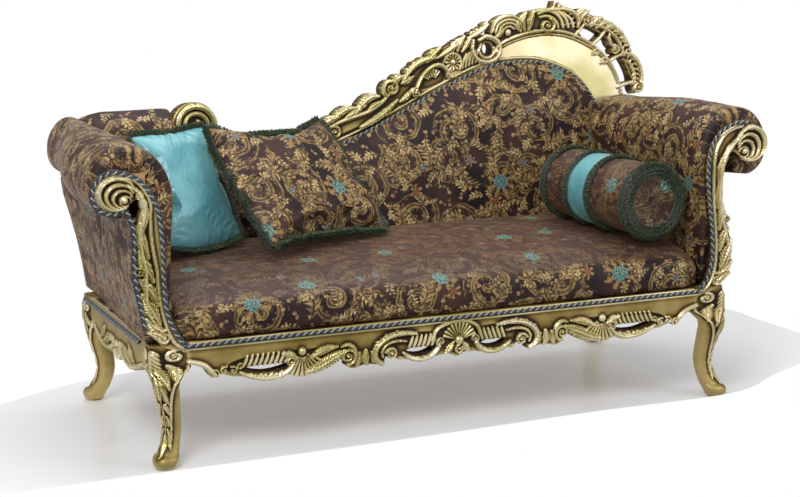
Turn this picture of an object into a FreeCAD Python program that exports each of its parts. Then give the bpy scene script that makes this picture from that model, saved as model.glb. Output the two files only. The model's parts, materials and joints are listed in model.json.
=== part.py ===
import FreeCAD, Part

import math
import os
import re
from types import SimpleNamespace

from FreeCAD import Placement, Rotation, Vector

# Carved and gilded chaise longue with rolled ends, an arched crest and three loose cushions.
# X runs along the seat, Y from the front to the back, Z up. The feet stand on Z = 0, and the
# origin lies under the middle of the whole piece.

doc = FreeCAD.newDocument("ChaiseLongue")

SIZES = [
    # carcass
    ("frame_length", 1670, "over the outer faces of the side rails"),
    ("frame_depth", 683, "front face of the front rail to rear face of the back rail"),
    ("front_setback", 388, "origin to the front face of the front rail"),
    ("rail_top", 315, "floor to the top of the seat rails"),
    ("rail_height", 65, "plain part of a rail, above its carved drop"),
    ("apron_drop", 50, "carved drop below the plain rail"),
    ("front_rail_thickness", 45, ""),
    ("back_rail_thickness", 36, ""),
    ("side_rail_thickness", 40, ""),
    ("leg_block", 112, "side of the leg's head along the seat"),
    ("leg_block_depth", 72, "side of the leg's head from front to back"),
    ("joint_gap", 0.3, "glue line between two curved or padded pieces"),
    ("arris", 4, "small rounding on plain members"),
    # cabriole legs
    ("knee_width", 70, ""),
    ("ankle_width", 45, ""),
    ("foot_width", 52, ""),
    ("leg_inset", 57, "side rail's outer face to the ankle's centre"),
    ("leg_setback", 28, "front or rear face of the frame to the ankle's centre"),
    ("knee_throw", 14, "how far the knee swings out from the ankle"),
    ("foot_throw", 22, "how far the foot swings out from the ankle"),
    ("rear_foot_throw", 36, "the same on a rear leg, towards the back"),
    ("toe_scroll", 15, "radius of the scroll under the toe"),
    ("glide_radius", 11, ""),
    ("glide_height", 4, ""),
    # arms
    ("facing_height", 455, "rail top to the crown of the scroll"),
    ("facing_width", 186, "post's inner foot to the scroll's outer side"),
    ("facing_thickness", 22, ""),
    ("facing_inset", 85, "side rail's outer face to the arm's inner foot"),
    ("arm_height", 497, "rail top to the crown of the padded roll"),
    ("arm_width", 216, "inner foot of the arm to the outside of the roll"),
    ("arm_overrun", 10, "rear of the back rail to the rear of the right arm's padding"),
    ("low_end_overrun", 45, "how much further back the left arm runs"),
    ("arm_rail_height", 53, ""),
    ("arm_rail_cover", 120, "underside of the arm's top rail to the crown of the padded roll"),
    ("arm_post_thickness", 44, ""),
    ("arm_tack_rail_height", 45, ""),
    ("arm_tack_rail_width", 24, ""),
    ("arm_tack_rise", 60, "rail top to the underside of the arm's tack rail"),
    ("outside_panel_thickness", 4, "board and cloth of an outside panel"),
    # back and crest
    ("back_rake", 7, "degrees that the back leans"),
    ("crest_overrun", 135, "side rail's outer face to the crest's tip"),
    ("crest_rise", 251, "crown of an arm's roll to the top of the crest, along the lean"),
    ("crest_thickness", 46, ""),
    ("carving_thickness", 34, "the pierced border above the crest's panel"),
    ("back_post_thickness", 28, ""),
    ("volute_radius", 67, "low end of the crest"),
    ("volute_thickness", 66, ""),
    ("groove_width", 6, "between the coils of a carved scroll"),
    ("groove_depth", 5, ""),
    ("relief", 7, "how far raised carving stands proud"),
]
SIZES += [
    # seat
    ("seat_side_gap", 77, "side rail's outer face to the end of the seat"),
    ("seat_front_height", 100, "rail top to the seat's front edge"),
    ("seat_crown", 38, "rise of the seat's middle above its front edge"),
    ("seat_end_drop", 24, "fall of the seat's edge towards its ends"),
    ("seat_nose", 34, "radius of the seat's front edge"),
    ("seat_rear_gap", 105, "rear of the back rail to the rear of the seat's cover"),
    ("seat_front_tuck", 5, "front rail's face to the foot of the seat's cover"),
    ("seat_facing_gap", 2.5, "arm facing's rear face to the seat's cover"),
    ("deck_thickness", 1.2, "hessian over the webbing"),
    ("deck_margin", 24, "cover's edge to the hessian's edge"),
    ("foam_height", 62, ""),
    ("foam_margin", 60, "cover's edge to the foam core"),
    ("web_width", 50, ""),
    ("web_thickness", 1.2, ""),
    ("web_pitch", 104, "between the middles of two webs"),
    ("cross_rail_width", 40, ""),
    ("cross_rail_height", 34, ""),
    ("corner_block_side", 60, ""),
    ("corner_block_height", 30, ""),
    # back padding
    ("back_pad_thickness", 78, "crown of the back above the crest's face"),
    ("back_pad_edge", 11, "thickness of the back's padding at its piped edge"),
    ("low_back_width", 172, "padded face to the outside of the low back's roll"),
    ("gimp_width", 11, "flat double cord along the show wood"),
    ("gimp_thickness", 6, ""),
    # loose cushions
    ("satin_inset", 251, "left side rail's outer face to the satin cushion's centre"),
    ("satin_setback", 199, "rear of the back rail to its centre"),
    ("satin_rise", 203, "seat's front edge to its centre"),
    ("satin_turn", 25, "degrees about the upright"),
    ("satin_lean", 25.5, "degrees backwards"),
    ("satin_tilt", -1, "degrees sideways"),
    ("satin_width", 272, ""),
    ("satin_height", 340, ""),
    ("satin_crown", 105, "thickness at the middle"),
    ("brocade_spacing", 309, "satin cushion's centre to the brocade cushion's, along the seat"),
    ("brocade_setback", 219, ""),
    ("brocade_rise", 209.4, ""),
    ("brocade_turn", 23.4, ""),
    ("brocade_lean", 43.5, ""),
    ("brocade_tilt", 2.5, ""),
    ("brocade_width", 448, ""),
    ("brocade_height", 404, ""),
    ("brocade_crown", 112, ""),
    ("cover_thickness", 3, "shell of a cushion's cover"),
    ("cushion_edge", 9, "thickness of a cushion at its seam"),
    ("fringe_reach", 14, "how far a cut fringe stands out from the seam"),
    ("fringe_thickness", 12, ""),
    ("bolster_inset", 205, "right side rail's outer face to the middle of the bolster's front end"),
    ("bolster_depth", 56, "front rail's face to the bolster's front end"),
    ("bolster_rise", 144.5, "seat's front edge to the bolster's axis"),
    ("bolster_turn", 5.2, "degrees from front to back"),
    ("bolster_radius", 100, ""),
    ("bolster_length", 440, ""),
    ("bolster_band_length", 86, ""),
    ("bolster_band_place", 0.56, "middle of the satin band, as a share of the length"),
    ("bolster_fringe_radius", 112, ""),
    ("bolster_fringe_thickness", 20, ""),
    ("disc_dish", 14, "depth of the gathered end"),
]

# Wood inside an arm, as shares of the arm's width: inner foot of the post, width of the post,
# inner face of the top rail and width of the rail
ARM_FRAME_SHARES = (4 / 27, 5 / 27, 13 / 36, 1 / 3)

# Sizes that follow from the ones above
SIZES += [
    ("arm_post_inset", f"={ARM_FRAME_SHARES[0]} * arm_width", "arm's inner foot to the post's inner foot"),
    ("arm_post_width", f"={ARM_FRAME_SHARES[1]} * arm_width", ""),
    ("arm_rail_inset", f"={ARM_FRAME_SHARES[2]} * arm_width", "arm's inner foot to the arm rail's inner face"),
    ("arm_rail_width", f"={ARM_FRAME_SHARES[3]} * arm_width", ""),
    ("arm_rail_rise", "=arm_height - arm_rail_cover", "rail top to the underside of the arm's top rail"),
    ("crest_height", "=arm_height + crest_rise", "rail top to the top of the crest, along the lean"),
    ("seat_rear", "=frame_depth - front_setback - seat_rear_gap", "origin to the rear of the seat's cover"),
    ("satin_depth", "=frame_depth - satin_setback", "front rail's face to the satin cushion's centre"),
    ("brocade_depth", "=frame_depth - brocade_setback", "front rail's face to the brocade cushion's centre"),
    ("facing_foot", "=frame_length / 2 - facing_inset", "centre of the chaise to the arm's inner foot"),
    ("arm_rail_reach", "=facing_foot + arm_rail_inset", "centre to the arm rail's inner face"),
    ("arm_post_foot", "=facing_foot + arm_post_inset", "centre to the post's inner foot"),
    ("arm_length", "=frame_depth - facing_thickness + arm_overrun", "padded length of the right arm"),
    ("crest_reach", "=frame_length / 2 + crest_overrun", "centre to the crest's tip"),
    ("satin_reach", "=frame_length / 2 - satin_inset", "centre to the satin cushion's centre, to the left"),
    ("brocade_reach", "=satin_reach - brocade_spacing", "centre to the brocade cushion's, to the left"),
    ("bolster_reach", "=frame_length / 2 - bolster_inset", "centre to the bolster's front end"),
]

sheet = doc.addObject("Spreadsheet::Sheet", "Sizes")
for row, (alias, value, note) in enumerate(SIZES, start=1):
    sheet.set(f"A{row}", alias)
    sheet.set(f"B{row}", str(value))
    sheet.set(f"C{row}", note)
    sheet.setAlias(f"B{row}", alias)
doc.recompute()

ALIASES = [alias for alias, value, note in SIZES]
d = SimpleNamespace(**{alias: float(sheet.get(alias)) for alias in ALIASES})
NAMED = {alias: "Sizes." + alias for alias in ALIASES}
PIECES = []

LEFT, RIGHT = -1, 1
FRONT, REAR = -1, 1


def formula(text):
    """Text with each size's name pointed at its cell in the sheet."""
    return re.sub(r"[a-z]\w*", lambda word: NAMED.get(word.group(), word.group()), text)


def bar(label, length, width, height, x, y, z):
    """A plain squared member. Its sides and its lowest corner are formulas of the sizes."""
    member = doc.addObject("Part::Box", label)
    texts = {"Length": length, "Width": width, "Height": height}
    texts.update({".Placement.Base.x": x, ".Placement.Base.y": y, ".Placement.Base.z": z})
    for name, text in texts.items():
        member.setExpression(name, formula(text))
    return member


def keep(label, piece):
    """Take an object as one sub-part of the chaise."""
    piece.Label = label
    PIECES.append(piece)
    return piece


def solid(label, shape, placement=None):
    """A sub-part whose shape is worked out from the sheet."""
    piece = doc.addObject("Part::Feature", label)
    piece.Shape = shape
    piece.Placement = placement or Placement()
    return keep(label, piece)


def edge(start, end, bulge):
    """Line, or arc whose height is a share (the bulge) of its chord, to the left of the way."""
    if bulge == 0:
        return Part.LineSegment(start, end)
    chord = end - start
    middle = (start + end) * 0.5 + Vector(-chord.y, chord.x, 0) * bulge
    return Part.Arc(start, middle, end)


def outline(points):
    """Closed run of lines and arcs through (across, up, bulge) points; the bulge is for the way on."""
    corners = [Vector(across, up, 0) for across, up, bulge in points]
    runs = zip(corners, corners[1:] + corners[:1], points)
    return [edge(start, end, point[2]) for start, end, point in runs]


def scaled(shares, across, up, origin=(0, 0), side=RIGHT):
    """Points from shares of two sizes, mirrored for the left side with their order kept closed."""
    return [(side * (origin[0] + x * across), origin[1] + z * up, side * bulge) for x, z, bulge in shares]


def wire(curves):
    return Part.Wire([curve.toShape() for curve in curves])


def stacked(rings):
    """Solid through rings of as many corners each, flat between each pair of edges."""
    faces = [Part.Face(Part.makePolygon(ring + ring[:1])) for ring in (rings[0], rings[-1])]
    for lower, upper in zip(rings, rings[1:]):
        for number in range(len(lower)):
            corners = [lower[number - 1], lower[number], upper[number], upper[number - 1]]
            faces.append(Part.Face(Part.makePolygon(corners + corners[:1])))
    shell = Part.makeShell(faces)
    shell.sewShape()
    body = Part.makeSolid(shell)
    if body.Volume < 0:
        body.reverse()
    return body


UPRIGHT = Rotation(Vector(1, 0, 0), 90)


def upright(curves, y=0):
    """Wire of an outline, stood up so that it lies across X and Z at depth y."""
    standing = wire(curves)
    standing.Placement = Placement(Vector(0, y, 0), UPRIGHT)
    return standing


def board(label, loops, thickness, placement, raised=(), sunk=()):
    """Sawn board: a sketch of outer and inner loops, padded backwards, with raised and cut carving.

    raised and sunk are lists of (loops, alias of the height or depth).
    """
    body = doc.addObject("PartDesign::Body", label)
    plane = [part for part in body.Origin.OriginFeatures if part.Role == "XZ_Plane"][0]

    def sketch(name, curves):
        drawn = body.newObject("Sketcher::SketchObject", name)
        drawn.AttachmentSupport = [(plane, "")]
        drawn.MapMode = "FlatFace"
        for loop in curves:
            drawn.addGeometry(loop, False)
        return drawn

    pad = body.newObject("PartDesign::Pad", label + "_sawn")
    pad.Profile = sketch(label + "_outline", loops)
    pad.Reversed = True
    pad.setExpression("Length", formula(thickness))
    for number, (curves, height) in enumerate(raised):
        relief = body.newObject("PartDesign::Pad", f"{label}_relief_{number}")
        relief.Profile = sketch(f"{label}_relief_outline_{number}", curves)
        relief.setExpression("Length", formula(height))
    for number, (curves, depth) in enumerate(sunk):
        cut = body.newObject("PartDesign::Pocket", f"{label}_cut_{number}")
        cut.Profile = sketch(f"{label}_cut_outline_{number}", curves)
        cut.setExpression("Length", formula(depth))
    body.Placement = placement
    return keep(label, body)


def spiral(centre, radius, width, half_turns, shrink, start=0, side=RIGHT):
    """Closed groove that winds in by half circles: each is a share (shrink) of the one before."""
    radii = [radius * shrink ** turn for turn in range(half_turns)]
    outer, inner, across, way = [radius], [radius - width], radius, 1
    for bend in radii:
        across -= way * 2 * bend
        outer.append(across)
        inner.append(across + way * width)
        way = -way
    points = [(x, -0.5) for x in outer[:-1]] + [(outer[-1], 0)]
    points += [(x, 0.5) for x in reversed(inner[1:])] + [(inner[0], 0)]
    turn = math.radians(start)
    placed = []
    for x, bulge in points:
        across = side * (centre[0] + x * math.cos(turn))
        placed.append((across, centre[1] + x * math.sin(turn), side * bulge))
    return outline(placed)


# Seat frame: four rails between the heads of the legs

half = d.frame_length / 2
front_face = -d.front_setback
rear_face = front_face + d.frame_depth
rail_foot = d.rail_top - d.rail_height
apron_half = half - d.leg_block
apron_foot = rail_foot - d.apron_drop

# Lower edge of the carved apron from its middle to a leg: shares of half its length and of the
# height from the lowest carving to the rail's top
APRON_SHARES = [
    (0.000, 0.000, -0.16), (0.058, 0.120, -0.20), (0.119, 0.040, -0.16), (0.177, 0.028, -0.20),
    (0.238, 0.110, 0.00), (0.255, 0.350, 0.00), (0.277, 0.125, -0.28), (0.349, 0.110, -0.16),
    (0.420, 0.060, 0.00), (0.436, 0.330, 0.10), (0.515, 0.228, -0.12), (0.571, 0.020, -0.08),
    (0.673, 0.075, -0.12), (0.776, 0.040, -0.06), (0.906, 0.240, -0.40), (0.944, 0.190, -0.30),
    (0.956, 0.400, 0.10), (1.000, 0.540, 0.00),
]
# Piercings of the apron, each a bent slot
PIERCING_SHARES = [
    [(0.104, 0.200, 0.10), (0.176, 0.205, 0.30), (0.174, 0.290, -0.06), (0.108, 0.285, 0.30)],
    [(0.668, 0.210, -0.06), (0.808, 0.230, 0.30), (0.806, 0.330, 0.08), (0.670, 0.330, 0.30)],
]
# Scallop shell in the middle: fan of lobes over a hinge
SHELL_LOBES = 7
SHELL_REACH_SHARE = 0.100
SHELL_HEIGHT_SHARE = 0.72

apron_rise = d.rail_top - apron_foot


def apron_edge():
    """Both halves of the apron's outline as points, from the left leg to the right one."""
    right = [(x * apron_half, apron_foot + z * apron_rise, bulge) for x, z, bulge in APRON_SHARES]
    left = []
    for number in range(len(right) - 1, 0, -1):
        x, z, bulge = right[number]
        left.append((-x, z, right[number - 1][2]))
    return left + right


def shell_fan():
    """Scalloped fan, lobe by lobe, closed through its hinge."""
    reach = SHELL_REACH_SHARE * apron_half
    rise = SHELL_HEIGHT_SHARE * apron_rise
    foot = apron_foot + d.groove_width
    points = []
    for lobe in range(SHELL_LOBES + 1):
        angle = math.pi * lobe / SHELL_LOBES
        points.append((reach * math.cos(angle), foot + d.groove_width + rise * math.sin(angle), -0.25))
    points[-1] = points[-1][:2] + (0,)
    return outline(points + [(-d.groove_width, foot, 0), (d.groove_width, foot, 0)])


def front_rail():
    edge_points = apron_edge()
    corners = [(apron_half, d.rail_top, 0), (-apron_half, d.rail_top, 0)]
    loops = [outline(edge_points + corners)]
    for side in (LEFT, RIGHT):
        for slot in PIERCING_SHARES:
            loops.append(outline(scaled(slot, apron_half, apron_rise, (0, apron_foot), side)))
    place = Placement(Vector(0, front_face, 0), Rotation())
    raised = [([shell_fan()], "relief")]
    return board("front_rail", loops, "front_rail_thickness", place, raised)


# Lower edge of a side rail: shares of its length from the front and of the carved height
SIDE_RAIL_SHARES = [
    (0.000, 0.05, -0.14), (0.105, 0.10, -0.18), (0.200, 0.24, 0.00), (0.215, 0.46, 0.03),
    (0.500, 0.46, 0.03), (0.785, 0.46, 0.00), (0.800, 0.24, -0.18), (0.895, 0.10, -0.14), (1.000, 0.05, 0.00),
]


def side_rail(label, side):
    span = d.frame_depth - 2 * d.leg_block_depth
    edge_points = scaled(SIDE_RAIL_SHARES, span, apron_rise, (0, apron_foot))
    corners = [(span, d.rail_top, 0), (0, d.rail_top, 0)]
    inner_face = side * half if side == LEFT else side * half - d.side_rail_thickness
    turned = Placement(Vector(inner_face + d.side_rail_thickness, front_face + d.leg_block_depth, 0),
                       Rotation(Vector(0, 0, 1), 90))
    return board(label, [outline(edge_points + corners)], "side_rail_thickness", turned)


BACK_RAIL_SHARES = [(-1, 0.46, 0.02), (0, 0.50, 0.02), (1, 0.46, 0)]


def back_rail():
    edge_points = scaled(BACK_RAIL_SHARES, apron_half, apron_rise, (0, apron_foot))
    corners = [(apron_half, d.rail_top, 0), (-apron_half, d.rail_top, 0)]
    place = Placement(Vector(0, rear_face - d.back_rail_thickness, 0), Rotation())
    return board("back_rail", [outline(edge_points + corners)], "back_rail_thickness", place)


front_rail()
back_rail()
for name, side in (("left", LEFT), ("right", RIGHT)):
    side_rail(name + "_side_rail", side)

# Cabriole legs: squared sections along an S, from the head under the rails to the foot's scroll.
# Each row: share of the height, share of the knee's throw, share of the foot's throw, width.
LEG_SECTIONS = [
    (0.870, 1.00, 0.00, "knee_width", 1.00),
    (0.720, 0.80, 0.00, "knee_width", 0.90),
    (0.560, 0.30, 0.00, "ankle_width", 1.16),
    (0.400, 0.00, 0.00, "ankle_width", 1.00),
    (0.240, 0.00, 0.30, "ankle_width", 0.98),
    (0.110, 0.00, 0.85, "foot_width", 1.00),
    (0.000, 0.00, 1.00, "foot_width", 0.66),
]
CORNER_SHARE = 0.22
RINGS_BETWEEN = 2
SCROLL_LENGTH_SHARE = 0.62


def squared_section(centre, width, depth, height):
    """Level square with its corners taken off."""
    corner = CORNER_SHARE * min(width, depth)
    x, y = width / 2, depth / 2
    points = []
    for across, along in ((x, -y), (x, y), (-x, y), (-x, -y)):
        turn = 1 if across * along > 0 else -1
        first = (across - math.copysign(corner, across), along)
        second = (across, along - math.copysign(corner, along))
        points += [first, second] if turn < 0 else [second, first]
    return [Vector(centre.x + across, centre.y + along, height) for across, along in points]


def eased(stations):
    """Stations of a leg with rings between them, so that its S runs smoothly."""
    rings = [stations[0]]
    last = len(stations) - 1
    for number in range(last):
        around = [stations[min(max(number + step, 0), last)] for step in (-1, 0, 1, 2)]
        for ring in range(1, RINGS_BETWEEN + 1):
            share = ring / RINGS_BETWEEN
            rings.append(tuple(flowing(values, share) for values in zip(*around)))
    return rings


def flowing(values, share):
    """Value on the smooth curve through four stations, between the middle two."""
    before, start, finish, after = values
    steady = start * (1 - share) + finish * share
    bend_in = (finish - before) / 2 - (finish - start)
    bend_out = (after - start) / 2 - (finish - start)
    return steady + bend_in * (share * (1 - share) ** 2) - bend_out * (share ** 2 * (1 - share))


def leg(label, side, end):
    frame_face = front_face if end == FRONT else rear_face
    ankle = Vector(side * (half - d.leg_inset), frame_face - end * d.leg_setback, 0)
    head = Vector(side * (half - d.leg_block / 2), frame_face - end * d.leg_block_depth / 2, 0)
    foot_depth = d.foot_throw if end == FRONT else d.rear_foot_throw
    height = rail_foot - d.glide_height
    stations = [(head, d.leg_block, d.leg_block_depth, rail_foot)]
    for share, knee, foot, width_name, width_share in LEG_SECTIONS:
        across = side * (knee * d.knee_throw + foot * d.foot_throw)
        along = end * (knee * d.knee_throw + foot * foot_depth)
        width = getattr(d, width_name) * width_share
        stations.append((ankle + Vector(across, along, 0), width, width, d.glide_height + share * height))
    shape = stacked([squared_section(*ring) for ring in eased(stations)])
    block = Part.makeBox(d.leg_block, d.leg_block_depth, d.rail_height)
    block.translate(head + Vector(-d.leg_block / 2, -d.leg_block_depth / 2, rail_foot))
    outward = Vector(side, end, 0).normalize()
    across_toe = Vector(-outward.y, outward.x, 0)
    foot = ankle + Vector(side * d.foot_throw, end * foot_depth, d.glide_height + d.toe_scroll)
    toe = foot + outward * (d.foot_width - d.toe_scroll) / 2
    scroll_length = d.foot_width * SCROLL_LENGTH_SHARE
    scroll = Part.makeCylinder(d.toe_scroll, scroll_length, toe - across_toe * scroll_length / 2, across_toe)
    return solid(label, shape.fuse([block, scroll]).removeSplitter())


def leg_foot(side, end):
    """Middle of a foot on the floor."""
    frame_face = front_face if end == FRONT else rear_face
    foot_depth = d.foot_throw if end == FRONT else d.rear_foot_throw
    return Vector(side * (half - d.leg_inset + d.foot_throw), frame_face - end * (d.leg_setback - foot_depth), 0)


for depth_name, end in (("front", FRONT), ("rear", REAR)):
    for name, side in (("left", LEFT), ("right", RIGHT)):
        leg(f"{depth_name}_{name}_leg", side, end)

glides = [Part.makeCylinder(d.glide_radius, d.glide_height, leg_foot(side, end))
          for side in (LEFT, RIGHT) for end in (FRONT, REAR)]
solid("foot_glides", Part.makeCompound(glides))

# Arm facings: the carved S that closes each arm's front and ends in a scroll.
# Shares of the facing's width from the post's inner foot and of its height from the rail's top.
FACING_SHARES = [
    (0.000, 0.000, -0.12), (0.194, 0.176, -0.03), (0.177, 0.343, 0.05), (0.091, 0.700, 0.16),
    (0.409, 0.969, 0.16), (0.839, 0.989, 0.22), (1.000, 0.885, 0.24), (0.833, 0.776, 0.22),
    (0.590, 0.850, 0.00), (0.560, 0.858, -0.14), (0.333, 0.640, -0.10), (0.425, 0.433, -0.06),
    (0.532, 0.242, 0.12), (0.470, 0.130, 0.10), (0.355, 0.080, -0.06), (0.376, 0.000, 0.00),
]
FACING_SCROLL_SHARES = (0.800, 0.878)
FACING_SCROLL_RADIUS_SHARE = 0.215
SCROLL_HALF_TURNS = 5
SCROLL_SHRINK_SHARE = 0.72


def facing(label, side):
    loop = outline(scaled(FACING_SHARES, d.facing_width, d.facing_height, (d.facing_foot, d.rail_top), side))
    middle = (d.facing_foot + FACING_SCROLL_SHARES[0] * d.facing_width,
              d.rail_top + FACING_SCROLL_SHARES[1] * d.facing_height)
    radius = FACING_SCROLL_RADIUS_SHARE * d.facing_width
    groove = spiral(middle, radius, d.groove_width, SCROLL_HALF_TURNS, SCROLL_SHRINK_SHARE, 200, side)
    place = Placement(Vector(0, front_face, 0), Rotation())
    return board(label, [loop], "facing_thickness", place, sunk=[([groove], "groove_depth")])


# Arm frame: a leaning front post, a top rail inside the roll and a tack rail on the seat frame.
# The raked back post carries the rear end of the top rail.
rake = math.radians(d.back_rake)
back_plane = rear_face - d.back_post_thickness
arm_start = front_face + d.facing_thickness
arm_rail_foot = d.rail_top + d.arm_rail_rise
arm_rail_head = arm_rail_foot + d.arm_rail_height
ARM_RAIL_LENGTH = ("frame_depth - back_post_thickness - facing_thickness"
                   " + arm_rail_rise * tan(back_rake * 1 deg) - joint_gap")
TACK_RAIL_REACH = ("arm_post_foot + (arm_rail_reach - arm_post_foot)"
                   " * (arm_tack_rise + arm_tack_rail_height) / arm_rail_rise")


def leaning_post(side, foot, top):
    """Post between two heights, leaning out as the arm does: inner foot, outer foot, head."""
    lean = (d.arm_rail_reach - d.arm_post_foot) / d.arm_rail_rise
    inner_foot = d.arm_post_foot + lean * (foot - d.rail_top)
    inner_head = d.arm_post_foot + lean * (top - d.rail_top)
    width = d.arm_post_width
    corners = [(inner_foot, foot), (inner_foot + width, foot), (inner_head + width, top), (inner_head, top)]
    return [(side * x, z, 0) for x, z in corners]


def arm_frame(name, side):
    post = outline(leaning_post(side, d.rail_top, arm_rail_foot))
    place = Placement(Vector(0, arm_start, 0), Rotation())
    board(f"{name}_arm_front_post", [post], "arm_post_thickness", place)
    rail = bar(f"{name}_arm_top_rail", "arm_rail_width", ARM_RAIL_LENGTH, "arm_rail_height",
               "arm_rail_reach" if side == RIGHT else "-arm_rail_reach - arm_rail_width",
               "facing_thickness - front_setback", "rail_top + arm_rail_rise")
    keep(f"{name}_arm_top_rail", rail)
    tack = bar(f"{name}_arm_tack_rail", "arm_tack_rail_width",
               "frame_depth - back_post_thickness - facing_thickness - arm_post_thickness"
               " + arm_tack_rise * tan(back_rake * 1 deg) - joint_gap",
               "arm_tack_rail_height",
               TACK_RAIL_REACH if side == RIGHT else f"-({TACK_RAIL_REACH}) - arm_tack_rail_width",
               "facing_thickness + arm_post_thickness - front_setback", "rail_top + arm_tack_rise")
    keep(f"{name}_arm_tack_rail", tack)


for name, side in (("left", LEFT), ("right", RIGHT)):
    facing(name + "_arm_facing", side)
    arm_frame(name, side)

# Back frame and crest, drawn flat and then leaned back: across the chaise and up the lean, in
# shares of the crest's reach and height. The plane they share is the crest's front face.
LEANED = Placement(Vector(0, back_plane, d.rail_top), Rotation(Vector(1, 0, 0), -d.back_rake))

# Hidden lower edge of the crest, behind the padding, as straight runs
UNDERSIDE_SHARES = [
    (-0.450, 0.400), (-0.330, 0.362), (-0.200, 0.376), (-0.080, 0.424), (0.040, 0.484), (0.160, 0.554),
    (0.320, 0.650), (0.480, 0.715), (0.640, 0.715), (0.740, 0.650), (0.800, 0.530), (0.930, 0.530),
]
# Line along which the padding meets the show wood, from the volute to the right arm
PIPING_SHARES = [
    (-0.462, 0.480, 0.16), (-0.340, 0.415, 0.10), (-0.206, 0.427, 0.02), (-0.086, 0.474, 0.00),
    (0.148, 0.598, -0.02), (0.326, 0.704, -0.04), (0.472, 0.771, -0.08), (0.636, 0.771, -0.12),
    (0.804, 0.643, 0.00),
]
# Outer border of the plain panel of the crest, from its left end over the top to the right arm
BORDER_SHARES = [
    (0.320, 0.700, 0.00), (0.430, 0.790, 0.00), (0.499, 0.846, -0.05), (0.640, 0.896, -0.08), (0.762, 0.877, -0.10),
    (0.872, 0.788, -0.06), (0.930, 0.621, 0.00),
]
# Upper edge of the low slope, each leaf a lobe
SLOPE_SHARES = [
    (-0.330, 0.515, 0.08), (-0.225, 0.530, -0.14), (-0.150, 0.552, 0.06), (-0.115, 0.577, -0.20),
    (-0.046, 0.602, -0.20), (-0.034, 0.626, -0.18), (0.018, 0.621, 0.00), (0.043, 0.668, -0.16),
    (0.094, 0.666, 0.00), (0.101, 0.708, -0.16), (0.166, 0.736, -0.10), (0.211, 0.770, -0.12),
    (0.264, 0.805, -0.12), (0.320, 0.862, 0.00),
]
# Outer edge of the pierced border above the panel
CRESTING_SHARES = [
    (0.320, 0.862, -0.16), (0.365, 0.892, -0.14), (0.404, 0.895, 0.00), (0.459, 0.938, -0.10),
    (0.497, 0.968, -0.16), (0.539, 0.973, -0.12), (0.582, 0.989, -0.12), (0.643, 1.000, -0.14),
    (0.692, 0.996, -0.14), (0.754, 0.999, -0.18), (0.791, 0.993, -0.12), (0.845, 0.960, -0.14),
    (0.901, 0.933, -0.16), (0.951, 0.875, -0.14), (0.974, 0.813, -0.12), (1.000, 0.747, -0.12),
    (1.006, 0.675, -0.12), (0.992, 0.615, 0.00),
]
CREST_HOLE_SHARES = [
    [(0.444, 0.846, -0.40), (0.476, 0.846, -0.40)],
    [(0.762, 0.915, 0.10), (0.796, 0.918, 0.30), (0.798, 0.946, 0.10), (0.768, 0.968, 0.30)],
    [(0.842, 0.828, -0.10), (0.876, 0.800, 0.00), (0.900, 0.860, 0.30), (0.878, 0.884, 0.10)],
    [(0.915, 0.770, 0.00), (0.934, 0.700, 0.00), (0.962, 0.720, 0.10), (0.950, 0.800, 0.30)],
]
VOLUTE_SHARES = (-0.502, 0.595)


def crest_points(shares):
    return [(x * d.crest_reach, z * d.crest_height, bulge) for x, z, bulge in shares]


def backwards(points):
    """The same run walked the other way, each bulge with its own stretch and turned over."""
    bulges = [-points[number - 1][2] for number in range(len(points) - 1, 0, -1)] + [0]
    return [(x, z, bulge) for (x, z, old), bulge in zip(reversed(points), bulges)]


def underside(first, last):
    """Corners of the crest's lower edge between two shares of its reach, both ends among them."""
    inner = [(x, z) for x, z in UNDERSIDE_SHARES if first < x < last]
    run = [(first, underside_height(first))] + inner + [(last, underside_height(last))]
    return [(x * d.crest_reach, z * d.crest_height, 0) for x, z in run]


def underside_height(x):
    """Share of the crest's height at which its lower edge lies."""
    for (x0, z0), (x1, z1) in zip(UNDERSIDE_SHARES, UNDERSIDE_SHARES[1:]):
        if x0 <= x <= x1:
            return z0 + (z1 - z0) * (x - x0) / (x1 - x0)
    raise ValueError(f"the crest has no lower edge at {x}")


def arc_bulge(start, end, radius):
    """Share of the chord by which an arc of this radius rises over it."""
    chord = math.hypot(end[0] - start[0], end[1] - start[1])
    return math.tan(math.asin(chord / (2 * radius)) / 2) / 2


def volute_point(angle):
    """Point on the rim of the crest's low scroll."""
    turn = math.radians(angle)
    across = VOLUTE_SHARES[0] * d.crest_reach + d.volute_radius * math.cos(turn)
    return across, VOLUTE_SHARES[1] * d.crest_height + d.volute_radius * math.sin(turn)


def crest_slope():
    """Carved slope from the low scroll up to the arch."""
    upper, lower = volute_point(20), volute_point(-75)
    rim = arc_bulge(lower, upper, d.volute_radius)
    run = [upper + (0.06,)] + crest_points(SLOPE_SHARES)
    run += backwards(underside(UNDERSIDE_SHARES[0][0], SLOPE_SHARES[-1][0]))
    return board("crest_slope", [outline(run + [lower + (-rim,)])], "crest_thickness", LEANED)


def crest_panel():
    """Plain gilt panel of the arch, with the rail under the padding's edge."""
    run = crest_points(BORDER_SHARES) + backwards(underside(BORDER_SHARES[0][0], BORDER_SHARES[-1][0]))
    return board("crest_panel", [outline(run)], "crest_thickness", LEANED)


def crest_cresting():
    """Pierced border of scrolls and leaves over the panel."""
    run = crest_points(CRESTING_SHARES) + backwards(crest_points(BORDER_SHARES))
    loops = [outline(run)] + [outline(crest_points(hole)) for hole in CREST_HOLE_SHARES]
    return board("crest_cresting", loops, "carving_thickness", LEANED)


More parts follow.
